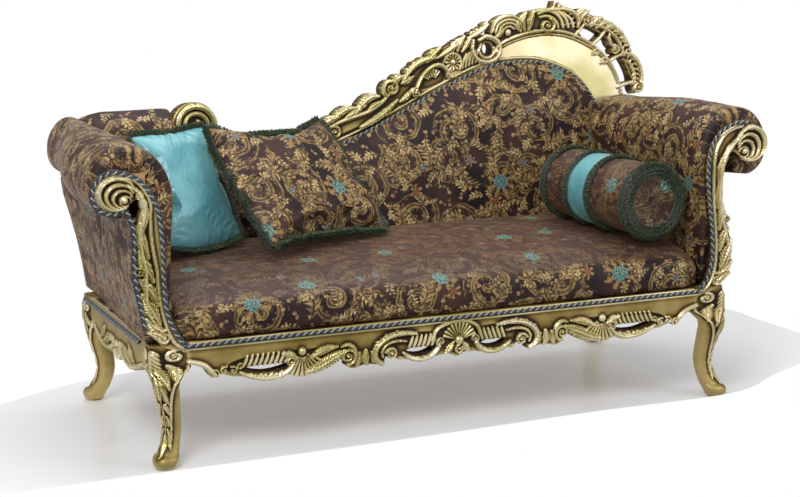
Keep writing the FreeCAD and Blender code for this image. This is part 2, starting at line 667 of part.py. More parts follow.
def crest_volute():
    """Scroll at the low end, its coils cut into the front and the rear face."""
    right, left = volute_point(0), volute_point(180)
    rim = [outline([right + (-0.5,), left + (-0.5,)])]
    middle = (VOLUTE_SHARES[0] * d.crest_reach, VOLUTE_SHARES[1] * d.crest_height)
    groove = spiral(middle, d.volute_radius - d.groove_width, d.groove_width, SCROLL_HALF_TURNS,
                    SCROLL_SHRINK_SHARE, 20)
    proud = (d.volute_thickness - d.crest_thickness) / 2
    place = LEANED.multiply(Placement(Vector(0, -proud, 0), Rotation()))
    return board("crest_volute", rim, "volute_thickness", place, sunk=[([groove], "groove_depth")])


below_rails = bar("below_rails", "frame_length", "frame_depth", "rail_top", "-frame_length / 2",
                  "-front_setback", "0")


def raked_post(label, points):
    """Post of the back frame, leaned back, with its foot cut level on the rail's top."""
    sawn = board(label + "_blank", [outline(points)], "back_post_thickness", LEANED)
    PIECES.remove(sawn)
    post = doc.addObject("Part::Cut", label)
    post.Base, post.Tool = sawn, below_rails
    return keep(label, post)


def upright_points(first, last):
    """Back post from the rail to the crest's lower edge, between two shares of the reach."""
    head = underside(first, last)
    return [(head[0][0], 0, 0)] + head + [(head[-1][0], 0, 0)]


def arm_rear_post_points(side, top):
    """Rear post of an arm: leans out with the arm up to a height."""
    return [(x, (z - d.rail_top) / math.cos(rake), 0) for x, z, bulge in leaning_post(side, d.rail_top, top)]


crest_slope()
crest_panel()
crest_cresting()
crest_volute()
post_head = d.rail_top + underside_height(0.9) * d.crest_height * math.cos(rake)
raked_post("right_back_post", arm_rear_post_points(RIGHT, post_head))
raked_post("left_back_post", arm_rear_post_points(LEFT, arm_rail_head))
UPRIGHT_SHARES = {"low": (-0.440, -0.380), "high": (0.340, 0.400)}
for name, (first, last) in UPRIGHT_SHARES.items():
    raked_post(f"{name}_back_upright", upright_points(first, last))

# Low back: the padded wing between the left arm and the crest's scroll has the arm's section,
# narrower and turned to face the seat
low_scale = d.low_back_width / d.arm_width
low_back_foot = rear_face - d.back_rail_thickness - (d.arm_post_foot - d.facing_foot) * low_scale
low_back_end = volute_point(180)[0] - d.joint_gap


def low_back_place(reach):
    """Depth in the low back that matches a distance from the chaise's middle in an arm."""
    return low_back_foot + (reach - d.facing_foot) * low_scale


def low_back_frame():
    rail = Part.makeBox(low_back_end + d.arm_rail_reach, d.arm_rail_width * low_scale, d.arm_rail_height)
    solid("low_back_top_rail", rail,
          Placement(Vector(-d.arm_rail_reach, low_back_place(d.arm_rail_reach), arm_rail_foot), Rotation()))
    turned = [(low_back_place(x), z, bulge) for x, z, bulge in leaning_post(RIGHT, d.rail_top, arm_rail_foot)]
    place = Placement(Vector(low_back_end, 0, 0), Rotation(Vector(0, 0, 1), 90))
    board("low_back_post", [outline(turned)], "arm_post_thickness", place)


low_back_frame()

# Seat frame inside the rails: two cross rails, and a notched block in each corner
inner_front = front_face + d.front_rail_thickness
inner_rear = rear_face - d.back_rail_thickness
inner_side = half - d.side_rail_thickness
CROSS_RAIL_SHARES = (-0.36, 0.36)


def cross_rails():
    span = inner_rear - inner_front
    low = d.rail_top - d.cross_rail_height - d.web_thickness
    rails = [Part.makeBox(d.cross_rail_width, span, d.cross_rail_height,
                          Vector(share * inner_side - d.cross_rail_width / 2, inner_front, low))
             for share in CROSS_RAIL_SHARES]
    return solid("seat_cross_rails", Part.makeCompound(rails))


def corner_block(side, end):
    """Brace across a corner, notched round the leg's head."""
    frame_face = front_face if end == FRONT else rear_face
    rail_face = inner_front if end == FRONT else inner_rear
    head_face = frame_face - end * d.leg_block_depth
    plan = [(apron_half - d.corner_block_side, rail_face), (apron_half, rail_face), (apron_half, head_face),
            (inner_side, head_face), (inner_side, head_face - end * d.corner_block_side)]
    corners = [Vector(side * x, y, rail_foot + d.arris) for x, y in plan]
    face = Part.Face(Part.makePolygon(corners + corners[:1]))
    return face.extrude(Vector(0, 0, d.corner_block_height))


cross_rails()
solid("corner_blocks", Part.makeCompound([corner_block(side, end) for side in (LEFT, RIGHT)
                                          for end in (FRONT, REAR)]))

# Padded arms: the section of an arm, in shares of its width and height, from the inner foot up
# the inside, round the roll and back under it
ROLL_SHARES = [
    (0.056, 0.020, -0.02), (0.028, 0.640, 0.10), (0.139, 0.895, 0.13), (0.556, 1.000, 0.20),
    (1.000, 0.815, 0.20), (0.741, 0.646, 0.05), (0.519, 0.642, 0.00), (0.232, 0.020, 0.00),
]
ROLL_MIDDLE_SHARES = (0.50, 0.70)
END_ROUND_SHARE = 0.94
END_ROUND_LENGTH_SHARE = 0.025


def roll_wire(width, scale, depth):
    """Arm's section, drawn in or out about its middle and stood at a depth."""
    middle = (ROLL_MIDDLE_SHARES[0] * width, ROLL_MIDDLE_SHARES[1] * d.arm_height)
    points = []
    for x, z, bulge in ROLL_SHARES:
        across = middle[0] + (x * width - middle[0]) * scale
        up = middle[1] + (z * d.arm_height - middle[1]) * scale
        points.append((across, d.rail_top + up, bulge))
    return upright(outline(points), depth)


def roll_channel(width, start, length):
    """Room inside a padded roll for its post and top rail, open to the outside under the roll."""
    scale = width / d.arm_width
    gap = d.joint_gap
    post_foot = (d.arm_post_foot - d.facing_foot) * scale - gap
    post_head = (d.arm_rail_reach - d.facing_foot) * scale - gap
    rail_end = post_head + d.arm_rail_width * scale + 2 * gap
    lip = ROLL_SHARES[6][1] * d.arm_height + d.rail_top - gap
    outside = d.arm_width + d.arm_rail_width
    corners = [(post_foot, 0), (outside, 0), (outside, lip), (ROLL_SHARES[6][0] * width + gap, lip),
               (post_head + d.arm_post_width * scale + 2 * gap, arm_rail_foot - gap),
               (rail_end, arm_rail_foot - gap),
               (rail_end, arm_rail_head + gap), (post_head, arm_rail_head + gap),
               (post_head, arm_rail_foot), (post_foot, d.rail_top)]
    face = Part.Face(upright(outline([(x, z, 0) for x, z in corners]), start))
    return face.extrude(Vector(0, length, 0))


def padded_roll(width, length):
    """Padded arm from its front end, with rounded ends and room for its frame."""
    round_length = END_ROUND_LENGTH_SHARE * length
    stops = [(0, END_ROUND_SHARE), (round_length, 1), (length - round_length, 1), (length, END_ROUND_SHARE)]
    shape = Part.makeLoft([roll_wire(width, scale, depth) for depth, scale in stops], True, True)
    return shape.cut(roll_channel(width, -round_length, length + 2 * round_length))


def arm_pad(label, side, length):
    shape = padded_roll(d.arm_width, length)
    if side == LEFT:
        shape = shape.cut(low_back_rail_notch()).mirror(Vector(), Vector(1, 0, 0))
    place = Placement(Vector(side * d.facing_foot, arm_start + d.joint_gap, 0), Rotation())
    return solid(label, shape.cut(behind_posts(place)), place)


def behind_posts(place):
    """Space below the rolls and behind the raked posts, as an arm's own frame sees it."""
    lip = (ROLL_SHARES[5][1] * d.arm_height - d.joint_gap) / math.cos(rake)
    space = Part.makeBox(2 * d.frame_length, d.frame_depth, lip,
                         Vector(-d.frame_length, -d.web_thickness - d.joint_gap, 0))
    return space.transformGeometry(place.inverse().multiply(LEANED).toMatrix())


def low_back_rail_notch():
    """Way into the left arm's padding for the low back's top rail."""
    gap = d.joint_gap
    depth = low_back_place(d.arm_rail_reach) - arm_start - 2 * gap
    return Part.makeBox(d.arm_rail_reach - d.facing_foot, d.arm_rail_width * low_scale + 2 * gap,
                        d.arm_rail_height + 2 * gap, Vector(0, depth, arm_rail_foot - gap))


def low_back_pad():
    """Padded wing of the low back, whose roll dies into the left arm's roll."""
    length = low_back_end + d.facing_foot + d.arm_width * ROLL_MIDDLE_SHARES[0]
    shape = padded_roll(d.low_back_width, length)
    grown = 1 + 4 * d.joint_gap / d.arm_width
    arm = Part.makeLoft([roll_wire(d.arm_width, grown, depth) for depth in (-d.arm_width, d.arm_width)], True, True)
    under_roll = Part.makeBox(d.arm_width, 2 * d.arm_width, ROLL_SHARES[5][1] * d.arm_height,
                              Vector(ROLL_SHARES[7][0] * d.arm_width, -d.arm_width, d.rail_top))
    arm = arm.fuse(under_roll).mirror(Vector(), Vector(0, 1, 0))
    arm.Placement = Placement(Vector(0, low_back_end + d.facing_foot, 0), Rotation(Vector(0, 0, 1), 90))
    return solid("low_back_pad", shape.cut(arm),
                 Placement(Vector(low_back_end, low_back_foot, 0), Rotation(Vector(0, 0, 1), 90)))


arm_pad("right_arm_pad", RIGHT, d.arm_length - d.joint_gap)
arm_pad("left_arm_pad", LEFT, d.arm_length + d.low_end_overrun)
low_back_pad()

# Outside panels: board and cloth from the rail up to the underside of each roll
def outside_panel(width):
    foot = (d.arm_post_foot + d.arm_post_width - d.facing_foot) * width / d.arm_width + 2 * d.joint_gap
    head = ROLL_SHARES[6][0] * width + d.joint_gap
    lip = d.rail_top + ROLL_SHARES[6][1] * d.arm_height - 2 * d.joint_gap
    thick = d.outside_panel_thickness
    return [(foot, d.rail_top, 0), (foot + thick, d.rail_top, 0), (head + thick, lip, 0), (head, lip, 0)]


def arm_outside_panel(label, side, length):
    points = [(side * (d.facing_foot + x), z, bulge) for x, z, bulge in outside_panel(d.arm_width)]
    face = Part.Face(upright(outline(points), arm_start + d.joint_gap))
    return solid(label, face.extrude(Vector(0, length, 0)))


panel_length = back_plane + d.back_post_thickness - arm_start - d.joint_gap
arm_outside_panel("right_outside_panel", RIGHT, panel_length)
arm_outside_panel("left_outside_panel", LEFT, panel_length)


def low_back_outside_panel():
    points = outside_panel(d.low_back_width)
    face = Part.Face(upright(outline(points), 0))
    shape = face.extrude(Vector(0, low_back_end + d.arm_post_foot - d.outside_panel_thickness, 0))
    place = Placement(Vector(low_back_end, low_back_foot, 0), Rotation(Vector(0, 0, 1), 90))
    return solid("low_back_outside_panel", shape, place)


low_back_outside_panel()


def outside_back():
    """Cloth on board over the rear of the posts, from the rail up to the crest's edge."""
    low = low_back_end + d.joint_gap
    run = [(x, z - d.joint_gap, 0) for x, z, bulge in underside(UNDERSIDE_SHARES[0][0], 0.82)]
    points = [(low, 0, 0), (low, run[0][1], 0)] + run + [(run[-1][0], 0, 0)]
    place = LEANED.multiply(Placement(Vector(0, d.back_post_thickness + d.joint_gap, 0), Rotation()))
    return board("outside_back_panel", [outline(points)], "outside_panel_thickness", place)


outside_back()

# Seat: webbing on the rails, hessian, foam core and a crowned cover over it
seat_half = half - d.seat_side_gap
seat_front = front_face + d.seat_front_tuck
web_top = d.rail_top + 2 * d.web_thickness
deck_foot = web_top + d.joint_gap
cover_foot = deck_foot + d.deck_thickness + d.joint_gap
front_edge = d.rail_top + d.seat_front_height
# Stops along half of the seat: share of its length, of the fall towards its end, and whether its
# front is set back behind the arm's facing
SEAT_STOPS = [(0.00, 0.00, 0), (0.55, 0.10, 0), (0.90, 0.36, 0), (0.940, 0.55, 0), (0.958, 0.64, 1), (1.00, 1.00, 1)]
SEAT_RISE_SHARES = (0.36, 0.78)
FACING_SEAT = Rotation(Vector(0, 0, 1), 90)


def crosswise(points, across):
    """Wire of (depth, height, bulge) points, stood across Y and Z at a place along the chaise."""
    standing = wire(outline(points))
    standing.Placement = Placement(Vector(across, 0, 0), FACING_SEAT.multiply(UPRIGHT))
    return standing


def seat_section(share, fall, set_back):
    """Section of the cover: front, rounded nose, rise to the crown, rear and underside."""
    edge_height = front_edge - fall * d.seat_end_drop
    front = seat_front + set_back * (d.facing_thickness - d.seat_front_tuck + d.seat_facing_gap)
    depth = d.seat_rear - front
    rise_place = front + SEAT_RISE_SHARES[0] * depth
    rise = edge_height + SEAT_RISE_SHARES[1] * d.seat_crown
    points = [(front, cover_foot, 0.03), (front, edge_height - d.seat_nose, 0.2),
              (front + d.seat_nose, edge_height, 0.05), (rise_place, rise, 0.01),
              (d.seat_rear, edge_height + d.seat_crown, 0.00), (d.seat_rear, cover_foot, 0.00)]
    return crosswise(points, share * seat_half)


def seat():
    right = [seat_section(*stop) for stop in SEAT_STOPS]
    left = [seat_section(-share, fall, set_back) for share, fall, set_back in reversed(SEAT_STOPS[1:])]
    cover = Part.makeLoft(left + right, True, True)
    core_length = 2 * (seat_half - d.foam_margin)
    core_depth = d.seat_rear - seat_front - 2 * d.foam_margin
    corner = Vector(-core_length / 2, seat_front + d.foam_margin, cover_foot)
    core = Part.makeBox(core_length, core_depth, d.foam_height, corner)
    gap = d.joint_gap
    room = Part.makeBox(core_length + 2 * gap, core_depth + 2 * gap, d.foam_height + 2 * gap,
                        corner - Vector(gap, gap, gap))
    solid("seat_foam", core)
    solid("seat_cover", cover.cut(room))
    margin = d.deck_margin
    deck = Part.makeBox(2 * (seat_half - margin), d.seat_rear - seat_front - 2 * margin, d.deck_thickness,
                        Vector(margin - seat_half, seat_front + margin, deck_foot))
    solid("seat_hessian", deck)


def seat_webs():
    lengthwise_span = 2 * (half - d.side_rail_thickness / 2)
    depth = inner_rear - inner_front
    count = int(depth // d.web_pitch)
    first = inner_front + (depth - (count - 1) * d.web_pitch) / 2 - d.web_width / 2
    webs = [Part.makeBox(lengthwise_span, d.web_width, d.web_thickness,
                         Vector(-lengthwise_span / 2, first + number * d.web_pitch, d.rail_top))
            for number in range(count)]
    solid("seat_webbing_lengthwise", Part.makeCompound(webs))
    width = 2 * seat_half
    count = 2 * int(width / 2 // d.web_pitch) - 1
    first = -(count - 1) * d.web_pitch / 2 - d.web_width / 2
    start = front_face + d.front_rail_thickness / 2
    webs = [Part.makeBox(d.web_width, back_plane - d.joint_gap - start, d.web_thickness,
                         Vector(first + number * d.web_pitch, start, d.rail_top + d.web_thickness))
            for number in range(count)]
    solid("seat_webbing_crosswise", Part.makeCompound(webs))


def dust_cover():
    """Cloth under the seat, notched round the heads of the legs."""
    gap = d.joint_gap
    corners = []
    for across, along in ((RIGHT, REAR), (LEFT, REAR), (LEFT, FRONT), (RIGHT, FRONT)):
        rail_face = inner_rear - gap if along == REAR else inner_front + gap
        frame_face = rear_face if along == REAR else front_face
        head_face = frame_face - along * (d.leg_block_depth + gap)
        notch = [(across * (inner_side - gap), head_face), (across * (apron_half - gap), head_face),
                 (across * (apron_half - gap), rail_face)]
        corners += notch if across == along else notch[::-1]
    face = Part.Face(Part.makePolygon([Vector(x, y, rail_foot) for x, y in corners + corners[:1]]))
    return solid("dust_cover", face.extrude(Vector(0, 0, d.web_thickness)))


seat()
seat_webs()
dust_cover()

# Back: webs across the posts and a padded panel that fills the arch up to its gimp
BACK_WEB_SHARES = (0.190, 0.275, 0.360)
BACK_PAD_STOPS = [(0.00, 1.000), (1.00, 1.000), (0.62, 0.970), (0.28, 0.915), (0.00, 0.820)]
BACK_PAD_MIDDLE_SHARES = (0.14, 0.34)
BACK_PAD_FOOT_SHARE = 0.03
BACK_PAD_SHOULDER_SHARE = 0.468


def back_webs():
    start = UPRIGHT_SHARES["low"][0] * d.crest_reach
    length = d.arm_post_foot + d.arm_post_width - start
    webs = [Part.makeBox(length, d.web_thickness, d.web_width,
                         Vector(start, -d.web_thickness, share * d.crest_height - d.web_width / 2))
            for share in BACK_WEB_SHARES]
    return solid("back_webbing", Part.makeCompound(webs), LEANED)


def back_pad_points():
    low = low_back_end + 2 * d.joint_gap
    foot = BACK_PAD_FOOT_SHARE * d.crest_height
    shoulder = BACK_PAD_SHOULDER_SHARE * d.crest_height
    rise = d.arm_height / math.cos(rake)
    side = [(d.facing_foot + x * d.arm_width - d.joint_gap, z * rise, bulge) for x, z, bulge in ROLL_SHARES[:3]]
    side = backwards(side)
    run = [(low, foot, 0), (low, shoulder, 0)] + crest_points(PIPING_SHARES) + side
    return run[:-1] + [(side[-1][0], foot, 0)]


def back_pad():
    points = back_pad_points()
    middle = (BACK_PAD_MIDDLE_SHARES[0] * d.crest_reach, BACK_PAD_MIDDLE_SHARES[1] * d.crest_height)
    rear = d.web_thickness + d.joint_gap
    crown = d.back_pad_thickness - d.back_pad_edge
    depths = [rear] + [rear + d.back_pad_edge + crown * (1 - share) for share, scale in BACK_PAD_STOPS[1:]]
    sections = []
    for depth, (share, scale) in zip(depths, BACK_PAD_STOPS):
        drawn = [(middle[0] + (x - middle[0]) * scale, middle[1] + (z - middle[1]) * scale, bulge)
                 for x, z, bulge in points]
        sections.append(upright(outline(drawn), -depth))
    return solid("back_pad", Part.makeLoft(sections, True, True), LEANED)


back_webs()
back_pad()

# Gimps: flat double cords that cover the edges of the cloth


def gimp_strip(points, height):
    """Band on the outer side of an open run of points."""
    corners = [Vector(across, up, 0) for across, up, bulge in points]
    runs = zip(corners, corners[1:], points)
    curves = [edge(start, end, point[2]) for start, end, point in runs]
    strip = wire(curves).makeOffset2D(height, 0, True, True, False)
    return strip


def gimp(label, points, offset, place):
    strip = gimp_strip(points, offset)
    strip.Placement = Placement(Vector(), UPRIGHT).multiply(strip.Placement)
    return solid(label, strip.extrude(Vector(0, -d.gimp_thickness, 0)), place)


def arm_gimp(label, side):
    points = scaled(FACING_SHARES[:7], d.facing_width, d.facing_height, (d.facing_foot, d.rail_top), side)
    place = Placement(Vector(0, arm_start, 0), Rotation())
    return gimp(label, points, -side * d.gimp_width, place)


arm_gimp("right_arm_gimp", RIGHT)
arm_gimp("left_arm_gimp", LEFT)
gimp("back_gimp", crest_points(PIPING_SHARES), -d.gimp_width, LEANED)
keep("seat_gimp", bar("seat_gimp", "2 * facing_foot", "gimp_thickness", "gimp_width", "-facing_foot",
                      "-front_setback - gimp_thickness", "rail_top - gimp_width"))
for name, inner in (("left", "-frame_length / 2 - gimp_thickness"), ("right", "frame_length / 2")):
    keep(f"{name}_side_gimp", bar(f"{name}_side_gimp", "gimp_thickness", "frame_depth - 2 * leg_block_depth",
                                  "gimp_width", inner, "leg_block_depth - front_setback",
                                  "rail_top - gimp_width"))

# Loose cushions: a cover sewn all round, its filling, and a cut fringe in the seam.
# Stops through the thickness: share of the crown, and how far the outline is drawn in.
CUSHION_STOPS = [(1.00, 0.30), (0.90, 0.56), (0.62, 0.80), (0.28, 0.945)]
# Each side: share of its half length, and of the half width to which it is drawn in
SIDE_SHARES = [(-1.0, 1.0), (-0.42, 0.945), (0.42, 0.945)]


def cushion_ring(width, height, scale, depth):
    """Four sides, each drawn in between its corners, upright at a depth."""
    x, z = width / 2 * scale, height / 2 * scale
    sides = [[(along * x, -draw * z) for along, draw in SIDE_SHARES],
             [(draw * x, along * z) for along, draw in SIDE_SHARES],
             [(-along * x, draw * z) for along, draw in SIDE_SHARES],
             [(-draw * x, -along * z) for along, draw in SIDE_SHARES]]
    return [Vector(across, depth, up) for across, up in sum(sides, [])]


def cushion_form(width, height, crown, seam):
    """Crowned cushion, upright, with its middle at the origin."""
    levels = [(-share * crown / 2, scale) for share, scale in CUSHION_STOPS] + [(-seam / 2, 1)]
    levels += [(-depth, scale) for depth, scale in reversed(levels)]
    return stacked([cushion_ring(width, height, scale, depth) for depth, scale in levels])


def cushion(name, width, height, crown, place):
    inset, gap = 3 * d.cover_thickness, d.joint_gap
    seam = d.cushion_edge - 2 * d.cover_thickness
    outer = cushion_form(width, height, crown, d.cushion_edge)
    room = cushion_form(width - 2 * inset, height - 2 * inset, crown - 2 * d.cover_thickness, seam)
    shrink = inset + 2 * gap
    filling = cushion_form(width - 2 * shrink, height - 2 * shrink, crown - 2 * d.cover_thickness - 2 * gap,
                           seam - 2 * gap)
    solid(f"{name}_cushion_cover", outer.cut(room), place)
    solid(f"{name}_cushion_filling", filling, place)
    outside, inside = [stacked([cushion_ring(width + 2 * out, height + 2 * out, 1, depth)
                                for depth in (-d.fringe_thickness / 2, d.fringe_thickness / 2)])
                       for out in (d.fringe_reach, gap)]
    solid(f"{name}_cushion_fringe", outside.cut(inside), place)


def cushion_place(reach, depth, rise, turn, tilt, lean):
    """Centre from the sheet's distances, then turned, tilted and leaned back."""
    return Placement(Vector(-reach, front_face + depth, front_edge + rise), Rotation(turn, tilt, -lean))


satin_place = cushion_place(d.satin_reach, d.satin_depth, d.satin_rise, d.satin_turn, d.satin_tilt, d.satin_lean)
brocade_place = cushion_place(d.brocade_reach, d.brocade_depth, d.brocade_rise, d.brocade_turn,
                              d.brocade_tilt, d.brocade_lean)
cushion("satin", d.satin_width, d.satin_height, d.satin_crown, satin_place)
cushion("brocade", d.brocade_width, d.brocade_height, d.brocade_crown, brocade_place)

# Bolster: turned about its own axis, with gathered ends, a satin band and four fringes
lying = Rotation(d.bolster_turn, 0, 0).multiply(Rotation(Vector(1, 0, 0), -90))
bolster_place = Placement(Vector(d.bolster_reach, front_face + d.bolster_depth, front_edge + d.bolster_rise), lying)


def turned(points):
    """Solid of revolution from (radius, along the axis) points."""
    face = Part.Face(upright(outline(points)))
    return face.revolve(Vector(), Vector(0, 0, 1), 360)


def bolster_body(radius, length):
    """Bolster with dished ends and bevelled rims."""
    rim = d.disc_dish
    return turned([(0, rim, 0), (radius - rim, 0, 0), (radius, rim, 0), (radius, length - rim, 0),
                   (radius - rim, length, 0), (0, length - rim, 0)])


def ring(inner, outer, start, thickness, taper):
    """Ring round the bolster; a fringe narrows towards its rim by a taper on each face."""
    return turned([(inner, start, 0), (outer, start + taper, 0), (outer, start + thickness - taper, 0),
                   (inner, start + thickness, 0)])


def bolster():
    thick, gap, radius, length = d.cover_thickness, d.joint_gap, d.bolster_radius, d.bolster_length
    end = d.disc_dish + thick
    room = Part.makeCylinder(radius - thick, length - 2 * end, Vector(0, 0, end))
    filling = Part.makeCylinder(radius - thick - gap, length - 2 * (end + gap), Vector(0, 0, end + gap))
    solid("bolster_cover", bolster_body(radius, length).cut(room), bolster_place)
    solid("bolster_filling", filling, bolster_place)
    band_start = d.bolster_band_place * length - d.bolster_band_length / 2
    band_face = radius + gap
    band = ring(band_face, band_face + thick, band_start, d.bolster_band_length, 0)
    solid("bolster_satin_band", band, bolster_place)
    thickness = d.bolster_fringe_thickness
    starts = [d.disc_dish, band_start - gap - thickness, band_start + d.bolster_band_length + gap,
              length - d.disc_dish - thickness]
    fringes = [ring(band_face, d.bolster_fringe_radius, start, thickness, thickness / 4) for start in starts]
    solid("bolster_fringes", Part.makeCompound(fringes), bolster_place)


bolster()


# Check every object and write one file for each sub-part

doc.recompute()
for item in doc.Objects:
    if "Invalid" in item.State or "Error" in item.State:
        raise RuntimeError(f"{item.Label} did not build: {item.State}")

for piece in PIECES:
    if piece.Shape.isNull() or not piece.Shape.isValid():
        raise RuntimeError(f"{piece.Label} has no valid shape")
os.makedirs("parts", exist_ok=True)
for piece in PIECES:
    piece.Shape.exportStep(f"parts/{piece.Label}.step")
print(len(PIECES), "sub-parts written")
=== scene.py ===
"""Carved and gilded chaise longue: the visual model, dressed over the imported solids.

Lengths are in metres in the row's frame; outlines of carving are tabled in millimetres.
"""
from __future__ import annotations

import json
import logging
import math
from dataclasses import dataclass, field
from enum import Enum
from typing import Any, Callable, Iterable, Sequence

import bmesh
import bpy
import numpy as np
from mathutils import Matrix, Vector


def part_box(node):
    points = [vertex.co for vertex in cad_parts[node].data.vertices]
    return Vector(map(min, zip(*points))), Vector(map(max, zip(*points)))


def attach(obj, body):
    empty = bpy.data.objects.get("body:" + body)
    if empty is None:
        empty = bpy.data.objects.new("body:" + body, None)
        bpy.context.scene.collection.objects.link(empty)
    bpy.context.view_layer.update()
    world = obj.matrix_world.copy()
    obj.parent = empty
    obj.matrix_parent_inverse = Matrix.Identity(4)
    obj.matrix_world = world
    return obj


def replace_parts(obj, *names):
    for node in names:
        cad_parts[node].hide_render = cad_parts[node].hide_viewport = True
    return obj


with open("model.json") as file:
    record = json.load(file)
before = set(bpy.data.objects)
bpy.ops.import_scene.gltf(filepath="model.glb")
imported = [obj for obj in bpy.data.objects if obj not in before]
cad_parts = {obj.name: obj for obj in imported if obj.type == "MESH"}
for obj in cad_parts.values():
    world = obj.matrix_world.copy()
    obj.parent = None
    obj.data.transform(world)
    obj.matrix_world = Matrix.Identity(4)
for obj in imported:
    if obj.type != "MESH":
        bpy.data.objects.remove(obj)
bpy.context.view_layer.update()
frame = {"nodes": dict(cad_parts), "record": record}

log = logging.getLogger("chaise")
MM = 0.001
Points = Sequence[tuple[float, float]]
Placer = Callable[[np.ndarray, np.ndarray, np.ndarray], np.ndarray]


# Finishes


def linear(code: str) -> tuple[float, float, float, float]:
    """Turn an sRGB hex colour into the linear values that Blender's sockets take.

    Args:
        code: The colour as "#RRGGBB".

    Returns:
        Linear red, green and blue, and an alpha of 1.
    """
    parts = [int(code[place : place + 2], 16) / 255 for place in (1, 3, 5)]
    toned = [part / 12.92 if part <= 0.04045 else ((part + 0.055) / 1.055) ** 2.4 for part in parts]
    return (toned[0], toned[1], toned[2], 1.0)


@dataclass
class Graph:
    """Node tree of one material or world, filled by a single call per node.

    Attributes:
        tree: The node tree.
    """

    tree: Any

    def add(self, kind: str, *inputs: Any, out: int | str = 0, **settings: Any) -> Any:
        """Add a node with its settings, and give its inputs links or values.

        Args:
            kind: The node's type after "ShaderNode".
            inputs: Links or values for the inputs in their order; None leaves one alone.
            out: Name or number of the output wanted.
            settings: Properties of the node. Two are not: "named" fills inputs by name, and
                "stops" lists the place and hex colour of each stop of a colour ramp.

        Returns:
            The output socket asked for.
        """
        node = self.tree.nodes.new("ShaderNode" + kind)
        named = settings.pop("named", {})
        stops = settings.pop("stops", ())
        while stops and len(node.color_ramp.elements) < len(stops):
            node.color_ramp.elements.new(0.5)
        for number, (place, code) in enumerate(stops):
            node.color_ramp.elements[number].position = place
            node.color_ramp.elements[number].color = linear(code)
        for name, value in settings.items():
            setattr(node, name, value)
        for place, value in [*enumerate(inputs), *named.items()]:
            if value is None:
                continue
            if isinstance(value, bpy.types.NodeSocket):
                self.tree.links.new(value, node.inputs[place])
            else:
                node.inputs[place].default_value = value
        return node.outputs[out] if node.outputs else node


class Finish:
    """A finish of the chaise: one material, made once.

    Attributes:
        name: The material's name.
        slot: The finish's name in the record, or nothing where it dresses no piece.
        made: The material, once a piece has asked for it.
    """

    name = ""
    slot = ""
    made: bpy.types.Material | None = None

    def material(self) -> bpy.types.Material:
        """Make the material the first time, and hand it over after that."""
        if self.made is None:
            self.made = bpy.data.materials.new(self.name)
            self.made.use_nodes = True
            self.made.node_tree.nodes.clear()
            graph = Graph(self.made.node_tree)
            surface = self.surface(graph)
            graph.add("OutputMaterial", surface)
        return self.made

    def surface(self, graph: Graph) -> Any:
        """Build the nodes and return the shader's socket."""
        raise NotImplementedError


class Gilding(Finish):
    """Carved beech, gessoed and gilded, then abraded and toned.

    Leaf is palest on what a hand rubs, with a painted highlight there too, while brown toning, old wax and painted
    shade lie in the hollows.
    """

    slot = "gilt_wood"

    def __init__(self, name: str, carved: bool) -> None:
        """Choose between carving, which stores how proud each point is, and plain members.

        Args:
            name: The material's name.
            carved: Whether the mesh has the "proud" attribute.
        """
        self.name = name
        self.carved = carved

    def surface(self, graph: Graph) -> Any:
        """Leaf over toning, mottled as water gilding is, with fine scratches; on carving also painted shade in
        hollows and a painted highlight on what stands proud.
        """
        place = graph.add("TexCoord", out="Object")
        mottle = graph.add("TexNoise", place, named={"Scale": 22.0, "Detail": 5.0, "Roughness": 0.62})
        patch = graph.add("TexNoise", place, named={"Scale": 5.0, "Detail": 2.0})
        grain = graph.add("TexNoise", place, named={"Scale": 420.0, "Detail": 3.0})
        if self.carved:
            # How far a point stands proud sets wear and toning, and also painted shade in hollows and a painted
            # highlight on high points
            proud = graph.add("Attribute", out="Fac", attribute_name="proud")
            wear_and_light = graph.add("Math", mottle, 0.22, proud, operation="MULTIPLY_ADD")
            wear_and_light = graph.add("Math", wear_and_light, 0.11, operation="SUBTRACT")
        else:
            wear_and_light = graph.add("Math", mottle, 0.4, 0.34, operation="MULTIPLY_ADD")
        # Dark end: toning and painted shade; pale end: wear and a painted highlight
        leaf = graph.add("ValToRGB", wear_and_light, stops=[
            (0.05, "#1E1308"), (0.25, "#543B17"), (0.38, "#94773A"), (0.49, "#C2AB6C"), (0.72, "#DCC78C"),
            (0.93, "#F5EAC4")])
        olive = graph.add("MixRGB", 1.0, leaf, linear("#D0D3A4"), blend_type="MULTIPLY")
        tone = graph.add("MapRange", patch, 0.45, 0.6, 0.0, 0.8)
        colour = graph.add("MixRGB", tone, leaf, olive)
        rough = graph.add("MapRange", wear_and_light, 0.2, 0.8, 0.62, 0.30)
        bump = graph.add("Bump", 0.12, 0.0006, None, grain)
        return graph.add("BsdfPrincipled", colour, named={"Metallic": 0.55, "Roughness": rough, "Normal": bump,
                                                          "Coat Weight": 0.18, "Coat Roughness": 0.28})


@dataclass(frozen=True)
class Motif:
    """One kind of woven figure, repeated over the cloth.

    Attributes:
        spacing: Distance between figures in millimetres.
        jitter: How far they stray from rows, from 0 to 1.
        size: Half length as a share of the spacing.
        shade: Colours from the figure's dark to its light side.
        shift: Keeps one kind's places apart from another's.
        share: Share of the places that carry a figure.
    """

    spacing: float
    jitter: float
    size: float
    shade: tuple[str, str]
    shift: float = 0.0
    share: float = 1.0


